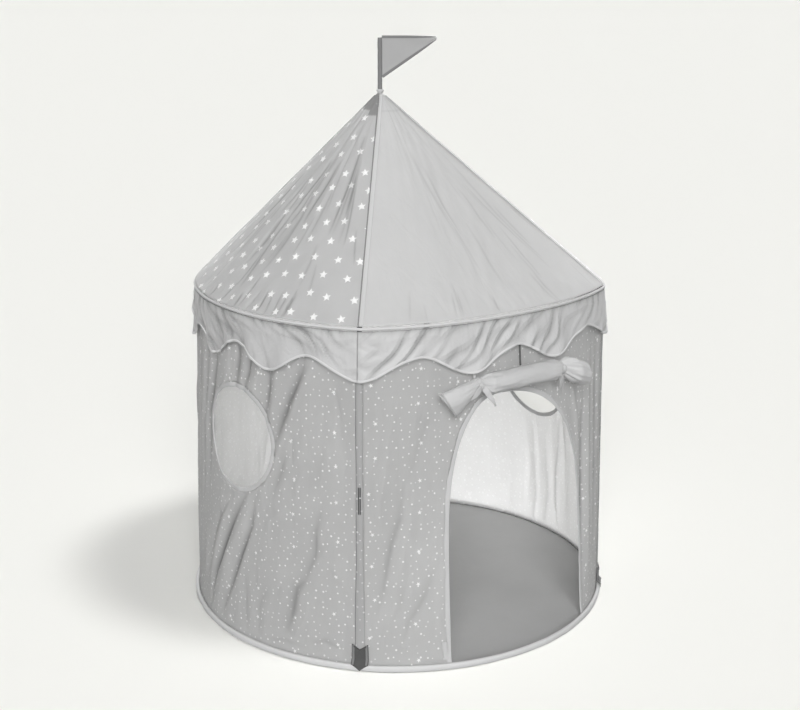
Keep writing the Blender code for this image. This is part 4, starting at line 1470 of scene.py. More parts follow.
    def build(self) -> None:
        """Builds the panels, then the sleeves."""
        panels = [
            WallPanel(
                Panel.LEFT,
                self.left_wrinkles(),
                window=RoundWindow(185.8, 0.478),
                print_shift=(0.052, -0.0165),
            ),
            WallPanel(Panel.DOOR, self.door_wrinkles(), arch=DoorArch()),
            WallPanel(Panel.RIGHT, self.far_wrinkles(5), window=RoundWindow(3.4, 0.449)),
            WallPanel(Panel.BACK, self.far_wrinkles(9)),
        ]
        for panel in panels:
            panel.build()
        for corner in Corner:
            self.sleeve(corner)
            self.band(corner)

    def sleeve(self, corner: Corner) -> None:
        """The cloth tube inside the wall that a pole stands in.

        Args:
            corner: The pole.
        """
        name = f"pole_sleeve_{corner.name.lower()}"
        home = polar(SHAPE.pole_radius, corner.value, 0.0)
        around, rows = 28, 90
        points, flat = [], []
        for j in range(rows + 1):
            z = self.sleeve_low + (self.sleeve_high - self.sleeve_low) * j / rows
            for i in range(around):
                turn = 2 * math.pi * i / around
                pull = 0.00025 * math.sin(5 * turn + 40 * z) + 0.0002 * math.sin(90 * z + turn)
                radius = self.sleeve_radius - self.sleeve_slack + pull
                points.append(home + polar(radius, math.degrees(turn), z))
                flat.append((radius * (turn - math.pi), z))
        faces = grid_faces(rows, around, closed=True)
        tube = cloth_object(name, points, faces, flat, WALL_LINING, WALL_LINING, self.sleeve_wall)
        attach(tube, Body.BASE, [name], SLEEVE_KEEP)

    def band(self, corner: Corner) -> None:
        """The outer face of the pole's sleeve: a strip of wall cloth that bulges over the pole.

        Args:
            corner: The pole.
        """
        low, high = SHAPE.wall_low + self.band_low, SHAPE.wall_high
        across, rows = 14, 130
        points, flat = [], []
        for j in range(rows + 1):
            z = low + (high - low) * j / rows
            wide = 1.0 - self.band_narrowing * smooth(z / 0.35) + 0.03 * math.sin(31 * z + corner.value)
            face = SHAPE.wall(corner.value, z) + self.band_gap + self.band_cloth
            for i in range(across + 1):
                share = i / across - 0.5
                y = self.band_width * wide * share
                rise = self.band_rise * math.cos(math.pi * share) ** 0.8
                wave = 0.00015 * math.sin(60 * z + 300 * y)
                out = face + rise * (1 + wave / self.band_rise)
                points.append(polar(out, corner.value + math.degrees(y / out), z))
                flat.append((y, z))
        name = corner.name.lower()
        faces = grid_faces(rows, across)
        strip = cloth_object(
            f"pole_band_{name}", points, faces, flat, SLEEVE_CLOTH, WALL_LINING, self.band_cloth
        )
        attach(strip, Body.BASE, keep=WALL_KEEP)
        # A dark tape along the band's left edge, where its seam lies: painted shadow beside the bulge over
        # the pole
        line = [left + polar(0.0003, corner.value, 0.0) for left in points[:: 2 * (across + 1)]]
        facing = [polar(1.0, corner.value, 0.0)] * len(line)
        section = pad_section(self.seam_shadow_width, 0.0008)
        seam = tape_along(f"pole_seam_{name}", line, facing, section, DARK_BINDING_AND_SEAM_SHADOW)
        attach(seam, Body.BASE, keep=WALL_KEEP)


@dataclass
class FootPocket:
    """The dark pocket over a pole's foot, pointed below and notched above.

    Its face lies hem_face outside the wall's foot as high as the hem, and from a step above that
    wall_face outside the wall, with a soft rib over the pole. It widens downwards by the spread.
    """

    corner: Corner
    width: float = 0.036
    top: float = 0.062
    notch: float = 0.010
    tip: float = 0.0025
    side_foot: float = 0.0165
    cloth: float = 0.0011
    hem_top: float = 0.0175
    step: float = 0.010
    hem_face: float = 0.0120
    wall_face: float = 0.0032
    rib: float = 0.0034
    spread: float = 0.10
    rim: float = 0.0052
    notch_rim: float = 0.0036

    def reach(self, share: float, height: float) -> float:
        """The radius of the pocket's outer face.

        Args:
            share: The place across, from 0 to 1.
            height: The height.

        Returns:
            The radius.
        """
        near = SHAPE.wall(self.corner.value, height) + self.wall_face
        near += self.rib * math.sin(math.pi / 2 * self.centred(share)) ** 1.5
        low = SHAPE.radius + self.hem_face
        return low + (near - low) * smooth((height - self.hem_top) / self.step)

    def centred(self, share: float) -> float:
        """How near a place across is to the middle: 0 at the sides and 1 there."""
        return 1.0 - abs(2 * share - 1)

    def point(self, share: float, height: float, lift: float = 0.0) -> Vector:
        """A point of the outer face.

        Args:
            share: The place across, from 0 to 1.
            height: The height.
            lift: How far outside the face.

        Returns:
            The point.
        """
        radius = self.reach(share, height) + lift
        across = self.width * (share - 0.5) * (1.0 + self.spread * (1.0 - height / self.top))
        return polar(radius, self.corner.value + math.degrees(across / radius), height)

    def build(self) -> None:
        """Builds the patch and the folded rims along its sides and its notch."""
        name = f"foot_pocket_{self.corner.name.lower()}"
        across, rows = 20, 26
        points, flat = [], []
        for j in range(rows + 1):
            for i in range(across + 1):
                u = i / across
                low = self.side_foot + (self.tip - self.side_foot) * self.centred(u) ** 1.3
                high = self.top - self.notch * self.centred(u)
                z = low + (high - low) * j / rows
                points.append(self.point(u, z, 0.0003 * math.sin(19 * u + 260 * z)))
                flat.append((self.width * (u - 0.5), z))
        faces = grid_faces(rows, across)
        patch = cloth_object(name, points, faces, flat, POCKET_CLOTH, thickness=self.cloth)
        attach(patch, Body.BASE, [name])
        heights = np.linspace(self.side_foot + 0.001, self.top - self.notch * 0.2, 22)
        side = pad_section(self.rim, 0.0020)
        shares = [float(u) for u in np.linspace(0.04, 0.96, 25)]
        notch = [(u, self.top - self.notch * self.centred(u) - 0.0022) for u in shares]
        for edge, places, section, finish in (
            ("left", [(0.10, float(z)) for z in heights], side, DARK_BINDING_AND_SEAM_SHADOW),
            ("right", [(0.90, float(z)) for z in heights], side, DARK_BINDING_AND_SEAM_SHADOW),
            ("top", notch, pad_section(self.notch_rim, 0.0018), POCKET_CLOTH),
        ):
            line = [self.point(u, z, 0.0003) for u, z in places]
            facing = [polar(1.0, self.corner.value, 0.0)] * len(line)
            rim = tape_along(f"{name}_rim_{edge}", line, facing, section, finish)
            attach(rim, Body.BASE)


@dataclass
class FloorAndHem:
    """The floor cloth and the bound hem round the foot of the wall.

    The floor's wrinkles fade out over the fade, up to the radius calm.
    """

    floor_radius: float = 0.5004
    cloth: float = 0.0007
    wrinkle: float = 0.0022
    rest: float = 0.0011
    calm: float = 0.47
    fade: float = 0.10
    hem_inner: float = 0.5010
    hem_width: float = 0.0090
    hem_height: float = 0.0145
    rings: int = 70
    around: int = 200

    def build(self) -> None:
        """Builds the floor, then the hem."""
        points, flat = [Vector((0, 0, self.rest + 0.0001))], [(0.0, 0.0)]
        for j in range(1, self.rings + 1):
            radius = self.floor_radius * j / self.rings
            held = smooth((self.calm - radius) / self.fade)
            for i in range(self.around):
                place = polar(radius, 360.0 * i / self.around, 0.0)
                rise = noise.noise(Vector((place.x / 0.11, place.y / 0.30, 5.0)))
                rise += 0.6 * noise.noise(Vector((place.x / 0.35 + 4, place.y / 0.07, 9.0)))
                place.z = self.rest + max(self.wrinkle * rise, -0.0003) * held
                points.append(place)
                flat.append((place.x, place.y))
        faces = [(0, 1 + i, 1 + (i + 1) % self.around) for i in range(self.around)]
        for a, b, c, d in grid_faces(self.rings - 1, self.around, closed=True):
            faces.append((1 + a, 1 + d, 1 + c, 1 + b))
        floor = cloth_object("floor_mat_cloth", points, faces, flat, FLOOR_CLOTH, thickness=self.cloth)
        attach(floor, Body.BASE, ["floor_mat"])
        self.hem()

    def hem(self) -> None:
        """The hem: a tape folded round the wall's foot and the bottom hoop."""
        count = 420
        centre = self.hem_inner + self.hem_width / 2
        centres, sides, ups = [], [], []
        for i in range(count):
            degrees = 360.0 * i / count
            bump = noise.noise(Vector((i * 0.11, 3.0, 1.0)))
            lift = 0.0007 * (1 + noise.noise(Vector((i * 0.05, 7.0, 2.0))))
            lean = 0.10 * noise.noise(Vector((i * 0.07, 1.0, 5.0)))
            outwards = polar(1.0, degrees, 0.0)
            centres.append(polar(centre + 0.0006 * bump, degrees, self.hem_height / 2 + lift))
            sides.append(outwards * (1 + 0.06 * bump))
            ups.append((Vector((0, 0, 1)) + outwards * lean) * (1 - 0.05 * abs(bump)))
        section = pad_section(self.hem_width, self.hem_height, 0.7, 0.55, 16)
        hem = swept("hem_binding_tape", centres, sides, ups, section, PIPING, True)
        attach(hem, Body.BASE, ["hem_binding"])


@dataclass
class Ring:
    """The piping round the top hoop, and the scalloped flap below it.

    The flap hangs down to low at the scallops' tips and to high between them. It stands out by the
    flare at its edge, leans in by the lean near the direction lean_at, and is held_off the wall.
    """

    piping: float = 0.0035
    top_drop: float = 0.0046
    outset: float = 0.0012
    low: float = 0.112
    high: float = 0.066
    flare: float = 0.007
    lean: float = 0.0030
    held_off: float = 0.0032
    lean_at: float = 144.0
    lean_width: float = 26.0
    fold: float = 0.0030
    crease: float = 0.0026
    folds: int = 9
    steep: float = 0.28
    pole_reach: float = 0.030
    # How far the painted shadow below the piping reaches
    piping_shadow: float = 0.003
    cloth: float = 0.0007
    tape: float = 0.0056
    columns: int = 1000
    rows: int = 36
    # For each panel its sets of creases: pull along the ring per depth, pitch, strength and seed
    creased: dict[Panel, tuple[tuple[float, float, float, float], ...]] = field(
        default_factory=lambda: {
            Panel.DOOR: ((-0.85, 0.040, 1.0, 0.3), (-1.9, 0.085, 0.5, 5.1)),
            Panel.LEFT: ((0.75, 0.036, 1.5, 0.7), (2.2, 0.075, 0.9, 3.4)),
            Panel.RIGHT: ((2.4, 0.110, 0.8, 1.2), (-0.6, 0.045, 0.6, 7.7)),
            Panel.BACK: ((-0.85, 0.040, 1.0, 2.3), (1.4, 0.080, 0.5, 4.9)),
        }
    )

    def share_of(self, degrees: float) -> tuple[int, float]:
        """The scallops of the panel there.

        Args:
            degrees: The direction.

        Returns:
            How many the panel has, and the share of the way across it.
        """
        panel, share = SHAPE.panel_at(degrees)
        if panel is Panel.LEFT:
            # The left panel's scallops are wider towards the front pole
            share = 1 - (1 - share) * (0.837 + 0.163 * (1 - share))
        return (3 if panel is Panel.DOOR else 4), share

    def drop(self, degrees: float) -> float:
        """How far the flap hangs down below the ring.

        Args:
            degrees: The direction.

        Returns:
            The distance.
        """
        scallops, share = self.share_of(degrees)
        wave = 0.5 + 0.5 * math.cos(2 * math.pi * scallops * share)
        return self.high + (self.low - self.high) * wave

    def crumple(self, degrees: float, down: float) -> tuple[float, float]:
        """The crumpled satin's creases there, drawn slantwise towards the poles.

        Args:
            degrees: The direction.
            down: The distance below the ring.

        Returns:
            The height, from about -1 in a crease to 1 on a ridge, and the painted shade from 0 to 1.
        """
        panel, share = SHAPE.panel_at(degrees)
        x = math.radians((degrees - Panel.DOOR.value) % 360.0) * SHAPE.radius
        bent = noise.noise(Vector((x / 0.10, down / 0.08, 1.0)))
        height, shade = 0.0, 0.0
        for pull, pitch, strength, seed in self.creased[panel]:
            place = (x - pull * down) / pitch + 0.8 * bent + seed
            turn = place - math.floor(place)
            # One face of each crease is short and steep, the other long and soft; the steep face and the
            # crease's foot are painted darker, as shade
            soft = 1 - self.steep
            face = turn / soft if turn < soft else (1 - turn) / self.steep
            kept = 0.5 + 1.5 * noise.noise(Vector((place * 0.61, down / 0.055, seed)))
            kept = min(max(kept, 0.0), 1.0) * strength
            height += kept * (2 * face - 1)
            shade += kept * (max(1 - face * 3.0, 0.0) * 0.6 + (0.40 if turn > soft else 0.0))
        near_pole = min(share, 1 - share) * SHAPE.radius * math.pi / 2
        # Near a pole the satin is gathered instead, in creases along the ring, whose hollows are painted
        # darker
        level = math.exp(-((near_pole / self.pole_reach) ** 2))
        across = 1 - 3.2 * abs(noise.noise(Vector((x / 0.09, down / 0.022 + 1.5 * bent, 4.0))))
        gather = noise.noise(Vector((x / 0.008, down / 0.05, 8.0))) * math.exp(-down / 0.020)
        height = height * (1 - 0.7 * level) + 0.9 * level * across + 0.5 * gather
        shade = shade * (1 - 0.7 * level) + 0.5 * level * max(-across, 0.0) + 0.5 * max(-gather, 0.0)
        return height, min(shade, 1.0)

    def shade(self, degrees: float, v: float) -> float:
        """The flap's painted shade. It is darkest in its creases and close below the piping, where a shadow
        is painted.

        Args:
            degrees: The direction.
            v: The share of the way from its top edge to its lower edge.

        Returns:
            The shade, from 0 to 1.
        """
        down = self.down(degrees, v)
        _, deep = self.crumple(degrees, down)
        return min(0.8 * deep + 0.8 * math.exp(-((down - self.top_drop) / self.piping_shadow)), 1.0)

    def down(self, degrees: float, v: float) -> float:
        """How far below the ring the share v of the way down the flap is."""
        return self.top_drop + (self.drop(degrees) - self.top_drop) * v

    def point(self, degrees: float, v: float, lift: float = 0.0) -> Vector:
        """A point of the flap.

        Args:
            degrees: The direction.
            v: The share of the way from its top edge to its lower edge.
            lift: How far outside the flap's face.

        Returns:
            The point.
        """
        _, share = self.share_of(degrees)
        down = self.down(degrees, v)
        folds = math.sin(2 * math.pi * self.folds * share)
        ripple, _ = self.crumple(degrees, down)
        held = math.sin(math.pi / 2 * min(v * 2.2, 1.0)) * (1.0 - 0.35 * v)
        aside = ((degrees - self.lean_at + 180.0) % 360.0 - 180.0) / self.lean_width
        lean = self.lean * v * math.exp(-(aside**2))
        out = self.outset + self.flare * v + self.fold * folds * v + self.crease * ripple * held
        out = max(out, self.held_off * min(v / 0.25, 1.0) + 0.0009) - lean
        radius = SHAPE.wall(degrees, SHAPE.ring - down) + SHAPE.hoop_outset + out
        return polar(radius + lift, degrees, SHAPE.ring - down)

    def build(self) -> None:
        """Builds the piping, the flap and the flap's binding."""
        count = 480
        centres, sides, ups = [], [], []
        for i in range(count):
            degrees = 360.0 * i / count
            bump = noise.noise(Vector((i * 0.23, 2.0, 8.0)))
            centres.append(polar(SHAPE.hoop(degrees), degrees, SHAPE.ring + 0.0003 * bump))
            sides.append(polar(1.0 + 0.05 * bump, degrees, 0.0))
            ups.append(Vector((0, 0, 1.0 - 0.04 * bump)))
        section = pad_section(2 * self.piping, 2 * self.piping, 1.0, 1.0, 14)
        piping = swept("top_piping_tape", centres, sides, ups, section, PIPING, True)
        attach(piping, Body.TOP, ["top_piping"])
        round_it = 2 * math.pi * SHAPE.radius
        turns = [Panel.DOOR.value + 360.0 * i / self.columns for i in range(self.columns)]
        points, flat, folds = [], [], []
        for j in range(self.rows + 1):
            v = j / self.rows
            for i, degrees in enumerate(turns):
                points.append(self.point(degrees, v))
                # Painted shade: darker in the creases and just below the piping
                folds.append(self.shade(degrees, v))
                flat.append((round_it * i / self.columns, -self.drop(degrees) * v))
        # The rows run downwards, so each face is turned over
        faces = [face[::-1] for face in grid_faces(self.rows, self.columns, closed=True)]
        flap = cloth_object("valance_cloth", points, faces, flat, SATIN, thickness=self.cloth, folds=folds)
        attach(flap, Body.TOP, ["valance"])
        edge = [self.point(degrees, 0.97, -self.cloth / 2) for degrees in turns]
        facing = [polar(1.0, degrees, 0.0) for degrees in turns]
        section = pad_section(self.tape, 0.0026)
        tape = tape_along("valance_binding", edge, facing, section, PIPING, True)
        attach(tape, Body.TOP)


@dataclass
class Roof:
    """The four panels of the cone, the tapes on its ridges and the collar at its top.

    A ray is a sharp crease that runs down from the top, and one of the depth full_shade_depth gets
    the full painted shade of a fold. The wrinkles have a depth each: a fan from the top, pulled slants,
    fine ones and short ones at the foot. The edge of a second layer shows through below the top.
    """

    seam: float = 0.0004
    sag: float = 0.012
    cloth: float = 0.0008
    columns: int = 260
    rows: int = 120
    full_shade_depth: float = 0.0026
    ridge_tape: float = 0.0100
    ridge_seam_shade: float = 0.0024
    fan: float = 0.0040
    pull: float = 0.0030
    fine: float = 0.0012
    foot: float = 0.0030
    sunken: float = 0.0010
    layer_line: float = 0.050
    layer_short: float = 0.048
    layer_long: float = 0.066

    def ends(self, panel: Panel, u: float) -> tuple[Vector, Vector]:
        """The ends of a line up a panel.

        Args:
            panel: The panel.
            u: The share of the way across it.

        Returns:
            The low end and the high end.
        """
        low_seam = math.degrees(self.seam / (SHAPE.radius - SHAPE.taper + SHAPE.hoop_outset))
        high_seam = math.degrees(self.seam / SHAPE.hole)
        low_angle = panel.value + low_seam + (SHAPE.span - 2 * low_seam) * u
        high_angle = panel.value + high_seam + (SHAPE.span - 2 * high_seam) * u
        low = polar(SHAPE.hoop(low_angle), low_angle, SHAPE.ring + SHAPE.roof_foot)
        return low, Vector(SHAPE.apex) + polar(SHAPE.hole, high_angle, 0.0)

    def rays(self, panel: Panel) -> list[tuple[float, float, float, float, float]]:
        """Chooses the sharp creases of a panel.

        Args:
            panel: The panel.

        Returns:
            For each its place across, its start and end up the panel, its depth and its width.
        """
        rng = random.Random(round(panel.value) + 500)
        count, deepest, lowest = (20, 0.0010, 0.02) if panel is Panel.DOOR else (34, 0.0026, 0.04)
        made = []
        for _ in range(count):
            start = rng.uniform(lowest, 0.45)
            end = start + rng.uniform(0.12, 0.45)
            place = rng.uniform(0.35 if panel is Panel.DOOR else 0.04, 0.97)
            depth = rng.uniform(0.3, 1.0) * deepest
            made.append((place, start, min(end, 0.93), depth, rng.uniform(0.0016, 0.0040)))
        for _ in range(count // 2):
            place, end = rng.uniform(0.03, 0.97), rng.uniform(0.06, 0.16)
            depth = rng.uniform(0.4, 1.0) * deepest
            made.append((place, 0.0, end, depth, rng.uniform(0.0014, 0.0030)))
        return made

    def ray_depth(self, lines: list[tuple[float, float, float, float, float]], u: float, v: float) -> float:
        """How deep the sharp creases are at a place.

        Args:
            lines: The creases.
            u: The share of the way across the panel.
            v: The share of the way up it.

        Returns:
            The depth.
        """
        wide = (1 - v) * SHAPE.radius * math.pi / 2
        deep = 0.0
        for place, start, end, depth, width in lines:
            if start < v < end:
                off = abs(u - place - 0.012 * math.sin(9 * v + 40 * place)) * wide / width
                if off < 3.0:
                    share = (v - start) / (end - start)
                    deep = max(deep, depth * math.sin(math.pi * share) ** 0.7 * math.exp(-(off**1.4)))
        return deep

    def lined(self, panel: Panel, u: float, v: float, slope: float) -> float:
        """How much darker the roof is where a second layer is sewn below its top.

        Args:
            panel: The panel.
            u: The share of the way across it.
            v: The share of the way up it.
            slope: The panel's length.

        Returns:
            The shade, from 0 to 1.
        """
        below = (1 - v) * slope
        if panel not in (Panel.LEFT, Panel.RIGHT):
            return 0.10 if abs(below - self.layer_line) < 0.003 else 0.0
        near = u if panel is Panel.LEFT else 1 - u
        return 0.50 if below < (self.layer_long if near > 0.72 else self.layer_short) else 0.0

    def creases(self, panel: Panel, u: float, v: float) -> float:
        """How far the cloth rises or falls because of its soft wrinkles.

        Args:
            panel: The panel.
            u: The share of the way across it.
            v: The share of the way up it.

        Returns:
            The distance, over 0 outwards.
        """
        seed = panel.value * 0.01
        spread = 0.25 + 0.75 * (1 - v)
        fan = noise.noise(Vector((u * 9.0 + seed, v * 1.3, 3.0 + seed)))
        fine = noise.noise(Vector((u * 26.0 * spread + seed, v * 3.0, 7.0)))
        slant = noise.noise(Vector(((u * 0.9 + v) * 7.0, (u - v) * 2.0 + seed, 11.0)))
        foot = math.exp(-(((v - 0.03) / 0.07) ** 2)) * noise.noise(Vector((u * 34.0, v * 8.0, seed)))
        taut = noise.noise(Vector((u * 13.0 + seed, v * 1.1, 21.0)))
        pulled = (0.5 - 2.2 * abs(taut)) * min(v / 0.25, 1.0)
        if panel is Panel.DOOR:
            fan, pulled = 0.4 * fan, 0.35 * pulled
        wide = self.fan * fan * spread + self.pull * (pulled + slant) * spread
        return wide + self.fine * fine + self.foot * foot

    def point(self, panel: Panel, u: float, v: float, sunk: float) -> Vector:
        """A point of the outer face.

        Args:
            panel: The panel.
            u: The share of the way across it.
            v: The share of the way up it.
            sunk: How deep a sharp crease is there.

        Returns:
            The point.
        """
        low, high = self.ends(panel, u)
        held = math.sin(math.pi * u) ** 0.8 if 0 < u < 1 else 0.0
        held = held * min(v / 0.03, 1.0) * min((1 - v) / 0.05, 1.0)
        sag = self.sag * math.sin(math.pi * u) * math.sin(math.pi * v) * (1.0 - v)
        out = (low - Vector((0, 0, low.z))).normalized() * 0.7 + Vector((0, 0, 0.75))
        place = low.lerp(high, v) - Vector((0, 0, sag))
        return place + out * ((self.creases(panel, u, v) - sunk - self.sunken) * held)

    def build(self) -> None:
        """Builds the panels, the ridges and the collar."""
        for panel in Panel:
            self.cover(panel)
        for corner in Corner:
            self.ridge(corner)
        self.collar()

    def cover(self, panel: Panel) -> None:
        """The cloth of one panel.

        Args:
            panel: The panel.
        """
        low, high = self.ends(panel, 0.5)
        slope = (high - low).length
        # Laid flat, the panel is a sector of a circle
        wide = SHAPE.radius * math.pi / 2
        whole = slope / (1 - SHAPE.hole / SHAPE.radius)
        lines = self.rays(panel)
        points, flat, folds = [], [], []
        for j in range(self.rows + 1):
            v = j / self.rows
            reach = whole - v * slope
            for i in range(self.columns + 1):
                u = i / self.columns
                sunk = self.ray_depth(lines, u, v)
                points.append(self.point(panel, u, v, sunk))
                # Painted shade in the sharp creases, plus the darker second layer that shows through below
                # the top
                shade = min(sunk / self.full_shade_depth, 1.0) * 0.55 + self.lined(panel, u, v, slope)
                folds.append(min(shade, 1.0))
                turn = (u - 0.5) * wide / whole
                flat.append((reach * math.sin(turn), whole - reach * math.cos(turn)))
        name = f"roof_{panel.name.lower()}"
        starred = panel in (Panel.LEFT, Panel.RIGHT)
        finish = ROOF_STARRED if starred else ROOF_PLAIN
        faces = grid_faces(self.rows, self.columns)
        sheet = cloth_object(
            f"{name}_cloth", points, faces, flat, finish, thickness=self.cloth, folds=folds
        )
        attach(sheet, Body.TOP, [name])

    def ridge(self, corner: Corner) -> None:
        """The sewn band along a ridge that holds the roof's pole below it.

        Args:
            corner: The ridge's pole.
        """
        low = polar(SHAPE.hoop(corner.value), corner.value, SHAPE.ring + SHAPE.roof_foot)
        high = Vector(SHAPE.apex) + polar(SHAPE.hole, corner.value, 0.0)
        out = polar(0.7, corner.value, 0.75)
        line = []
        for i in range(61):
            share = 0.004 + 0.985 * i / 60
            wave = 0.0003 * math.sin(23 * share + corner.value)
            line.append(low.lerp(high, share) + out * (0.0002 + wave))
        facing = [out] * len(line)
        name = f"roof_ridge_{corner.name.lower()}"
        # The band lies on the plain panel's side of the ridge
        side = -1.0 if corner in (Corner.FRONT_RIGHT, Corner.BACK_LEFT) else 1.0
        tape = tape_along(
            name,
            line,
            facing,
            pad_section(self.ridge_tape, 0.0012),
            RIDGE_TAPE,
            shift=side * self.ridge_tape * 0.5,
            scale=lambda share: 1.0 - 0.45 * max(share - 0.80, 0.0) / 0.20,
        )
        attach(tape, Body.TOP)
        # The seam at the band's edge, drawn as a dark strip of painted shade
        section, shift = pad_section(self.ridge_seam_shade, 0.0014), -side * 0.0014
        seam = tape_along(f"{name}_seam", line, facing, section, SEAM_SHADE, shift=shift)
        attach(seam, Body.TOP)

    def collar(self) -> None:
        """The gathered edge of the roof's cloth, drawn up round the foot of the flag's sleeve."""
        hole, around = SHAPE.hole, 48
        points, flat = [], []
        # From the hole's edge it bulges out over a thread and closes in above it
        profile = ((hole * 1.01, -0.0004), (hole * 0.84, 0.0034), (0.0090, 0.0066), (0.0074, 0.0098))
        for j, (radius, rise) in enumerate(profile):
            gather = 0.05 if 0 < j < 3 else 0.0
            for i in range(around):
                degrees = 360.0 * i / around
                pull = 1 + gather * math.sin(7 * math.radians(degrees))
                points.append(Vector(SHAPE.apex) + polar(radius * pull, degrees, rise))
                flat.append((hole * 2 * math.pi * i / around, rise))
        faces = grid_faces(len(profile) - 1, around, closed=True)
        collar = cloth_object("apex_collar", points, faces, flat, ROOF_PLAIN, thickness=self.cloth)
        attach(collar, Body.TOP)


@dataclass
class DoorRoll:
    """The rolled-up door and the two bows that hold it.

    Places along it run to the right of the doorway's middle, seen from in front. It is drawn in to
    the neck at each knot, with gathers that reach out from it. Its open left end leans by the slant
    and is flattened, and the cloth's free edge laps over the turn below it.
    """

    left: float = -0.212
    right: float = 0.188
    knots: tuple[float, float] = (-0.121, 0.123)
    radius: float = 0.0240
    neck: float = 0.0125
    end: float = 0.030
    slant: float = 0.020
    arch: float = 0.004
    height: float = 0.635
    end_drop: float = 0.036
    clearance: float = 0.0062
    knot_length: float = 0.030
    knot_flat: float = 0.0057
    cloth: float = 0.0009
    around: int = 72
    stations: int = 190
    gather: float = 0.075
    gather_reach: float = 0.040
    slack: float = 0.0016
    lap: float = 0.0012
    tie_width: float = 0.009
    tie: float = 0.0014
    tape_at: float = 0.014
    tape_low: float = 0.652
    tape_end: float = 0.012

    def section(self, across: float) -> tuple[Vector, float, Vector]:
        """The roll's section at a place along it.

        Args:
            across: The place.

        Returns:
            The section's middle, its radius and the direction away from the wall.
        """
        first, second = self.knots
        away = min(abs(across - first), abs(across - second))
        inner = first < across < second
        share = min(max(away - self.knot_flat, 0.0) / (self.knot_length - self.knot_flat), 1.0)
        full = self.radius if inner else self.end
        radius = self.neck + (full - self.neck) * math.sin(math.pi / 2 * share)
        if across < first:
            widening = min((first - across) / (first - self.left), 1.0)
            radius = self.neck + (self.end - self.neck) * widening**0.8
        past = max(first - across, across - second, self.knot_flat) - self.knot_flat
        height = self.height - self.end_drop * min(past / (first - self.left - self.knot_flat), 1.0)
        if inner:
            height += self.arch * math.sin(math.pi * (across - first) / (second - first))
        degrees = -90.0 + math.degrees(math.asin(across / SHAPE.radius))
        back = SHAPE.wall(degrees, height) + self.clearance
        return polar(back + radius, degrees, height), radius, polar(1.0, degrees, 0.0)

    def surface(self, across: float, turn: float, shrink: float) -> Vector:
        """A point of the roll's skin, with the folds that run in to its knots.

        Args:
            across: The place along the roll.
            turn: The place round it, in radians from the front.
            shrink: The layer's size as a share of the outer one's.

        Returns:
            The point.
        """
        middle, radius, outwards = self.section(across)
        away = min(abs(across - knot) for knot in self.knots)
        pull = math.exp(-((away / self.gather_reach) ** 2))
        folds = math.sin(9 * turn + 60 * across) + 0.6 * math.sin(14 * turn - 45 * across)
        slack = noise.noise(Vector((across / 0.035, math.cos(turn) * 1.4 + 5, math.sin(turn) * 1.4)))
        slack += 0.5 * noise.noise(Vector((across / 0.014, math.cos(turn) * 3, math.sin(turn) * 3 + 2)))
        size = radius * shrink * (1 + self.gather * pull * folds) + self.slack * (slack - 0.5)
        flatten, rise = 1.0, 1.0
        if across < self.knots[0]:
            opened = min((self.knots[0] - across) / (self.knots[0] - self.left), 1.0) ** 1.2
            flatten, rise = 1 - 0.40 * opened, 1 + 0.02 * opened
            middle = middle + Vector((self.slant * opened * (1 - math.sin(turn)), 0, 0))
        back = (1 - flatten) * radius * 0.75
        place = middle + outwards * (size * flatten * math.cos(turn) - back)
        return place + Vector((0, 0, size * rise * math.sin(turn)))

    def skin(
        self, name: str, low: float, high: float, shrink: float, closed_end: bool, seam: float
    ) -> Object:
        """One layer of the roll.

        Args:
            name: The piece's name.
            low: Where it starts.
            high: Where it ends.
            shrink: Its size as a share of the outer layer's.
            closed_end: Whether its right end is tucked in.
            seam: Where round the roll the cloth's free edge shows, in radians.

        Returns:
            The layer.
        """
        count = max(int(self.stations * (high - low) / (self.right - self.left)), 12)
        places = [low + (high - low) * j / count for j in range(count + 1)]
        points, flat = [], []
        for across in places:
            middle, _, _ = self.section(across)
            for i in range(self.around + 1):
                point = self.surface(across, seam + 2 * math.pi * i / self.around, shrink)
                # The cloth's free edge stands up a little over the turn below it
                lap = self.lap * math.exp(-((i / 3.0) ** 2))
                lap -= self.lap / 2 * math.exp(-(((self.around - i) / 4.0) ** 2))
                points.append(point + (point - middle).normalized() * lap)
                flat.append((across, self.radius * 2 * math.pi * i / self.around))
        rows, steps = count, 8
        if closed_end:
            rows += steps
            middle, _, _ = self.section(high)
            ahead = polar(1.0, SHAPE.angle_of(high, self.height) + 90.0, 0.0)
            last = points[-(self.around + 1) :]
            for step in range(1, steps + 1):
                share = step / steps
                bulge = 0.010 * math.sin(math.pi / 2 * share)
                for i, point in enumerate(last):
                    inwards = point.lerp(middle, 1 - math.cos(math.pi / 2 * share) * 0.98)
                    pucker = 0.0018 * math.sin(7 * 2 * math.pi * i / self.around) * share
                    points.append(inwards + ahead * (bulge + pucker))
                    flat.append((high + 0.02 * share, self.radius * 2 * math.pi * i / self.around))
        faces = [(a, d, c, b) for a, b, c, d in grid_faces(rows, self.around)]
        return cloth_object(name, points, faces, flat, ROLL_CLOTH, thickness=self.cloth)

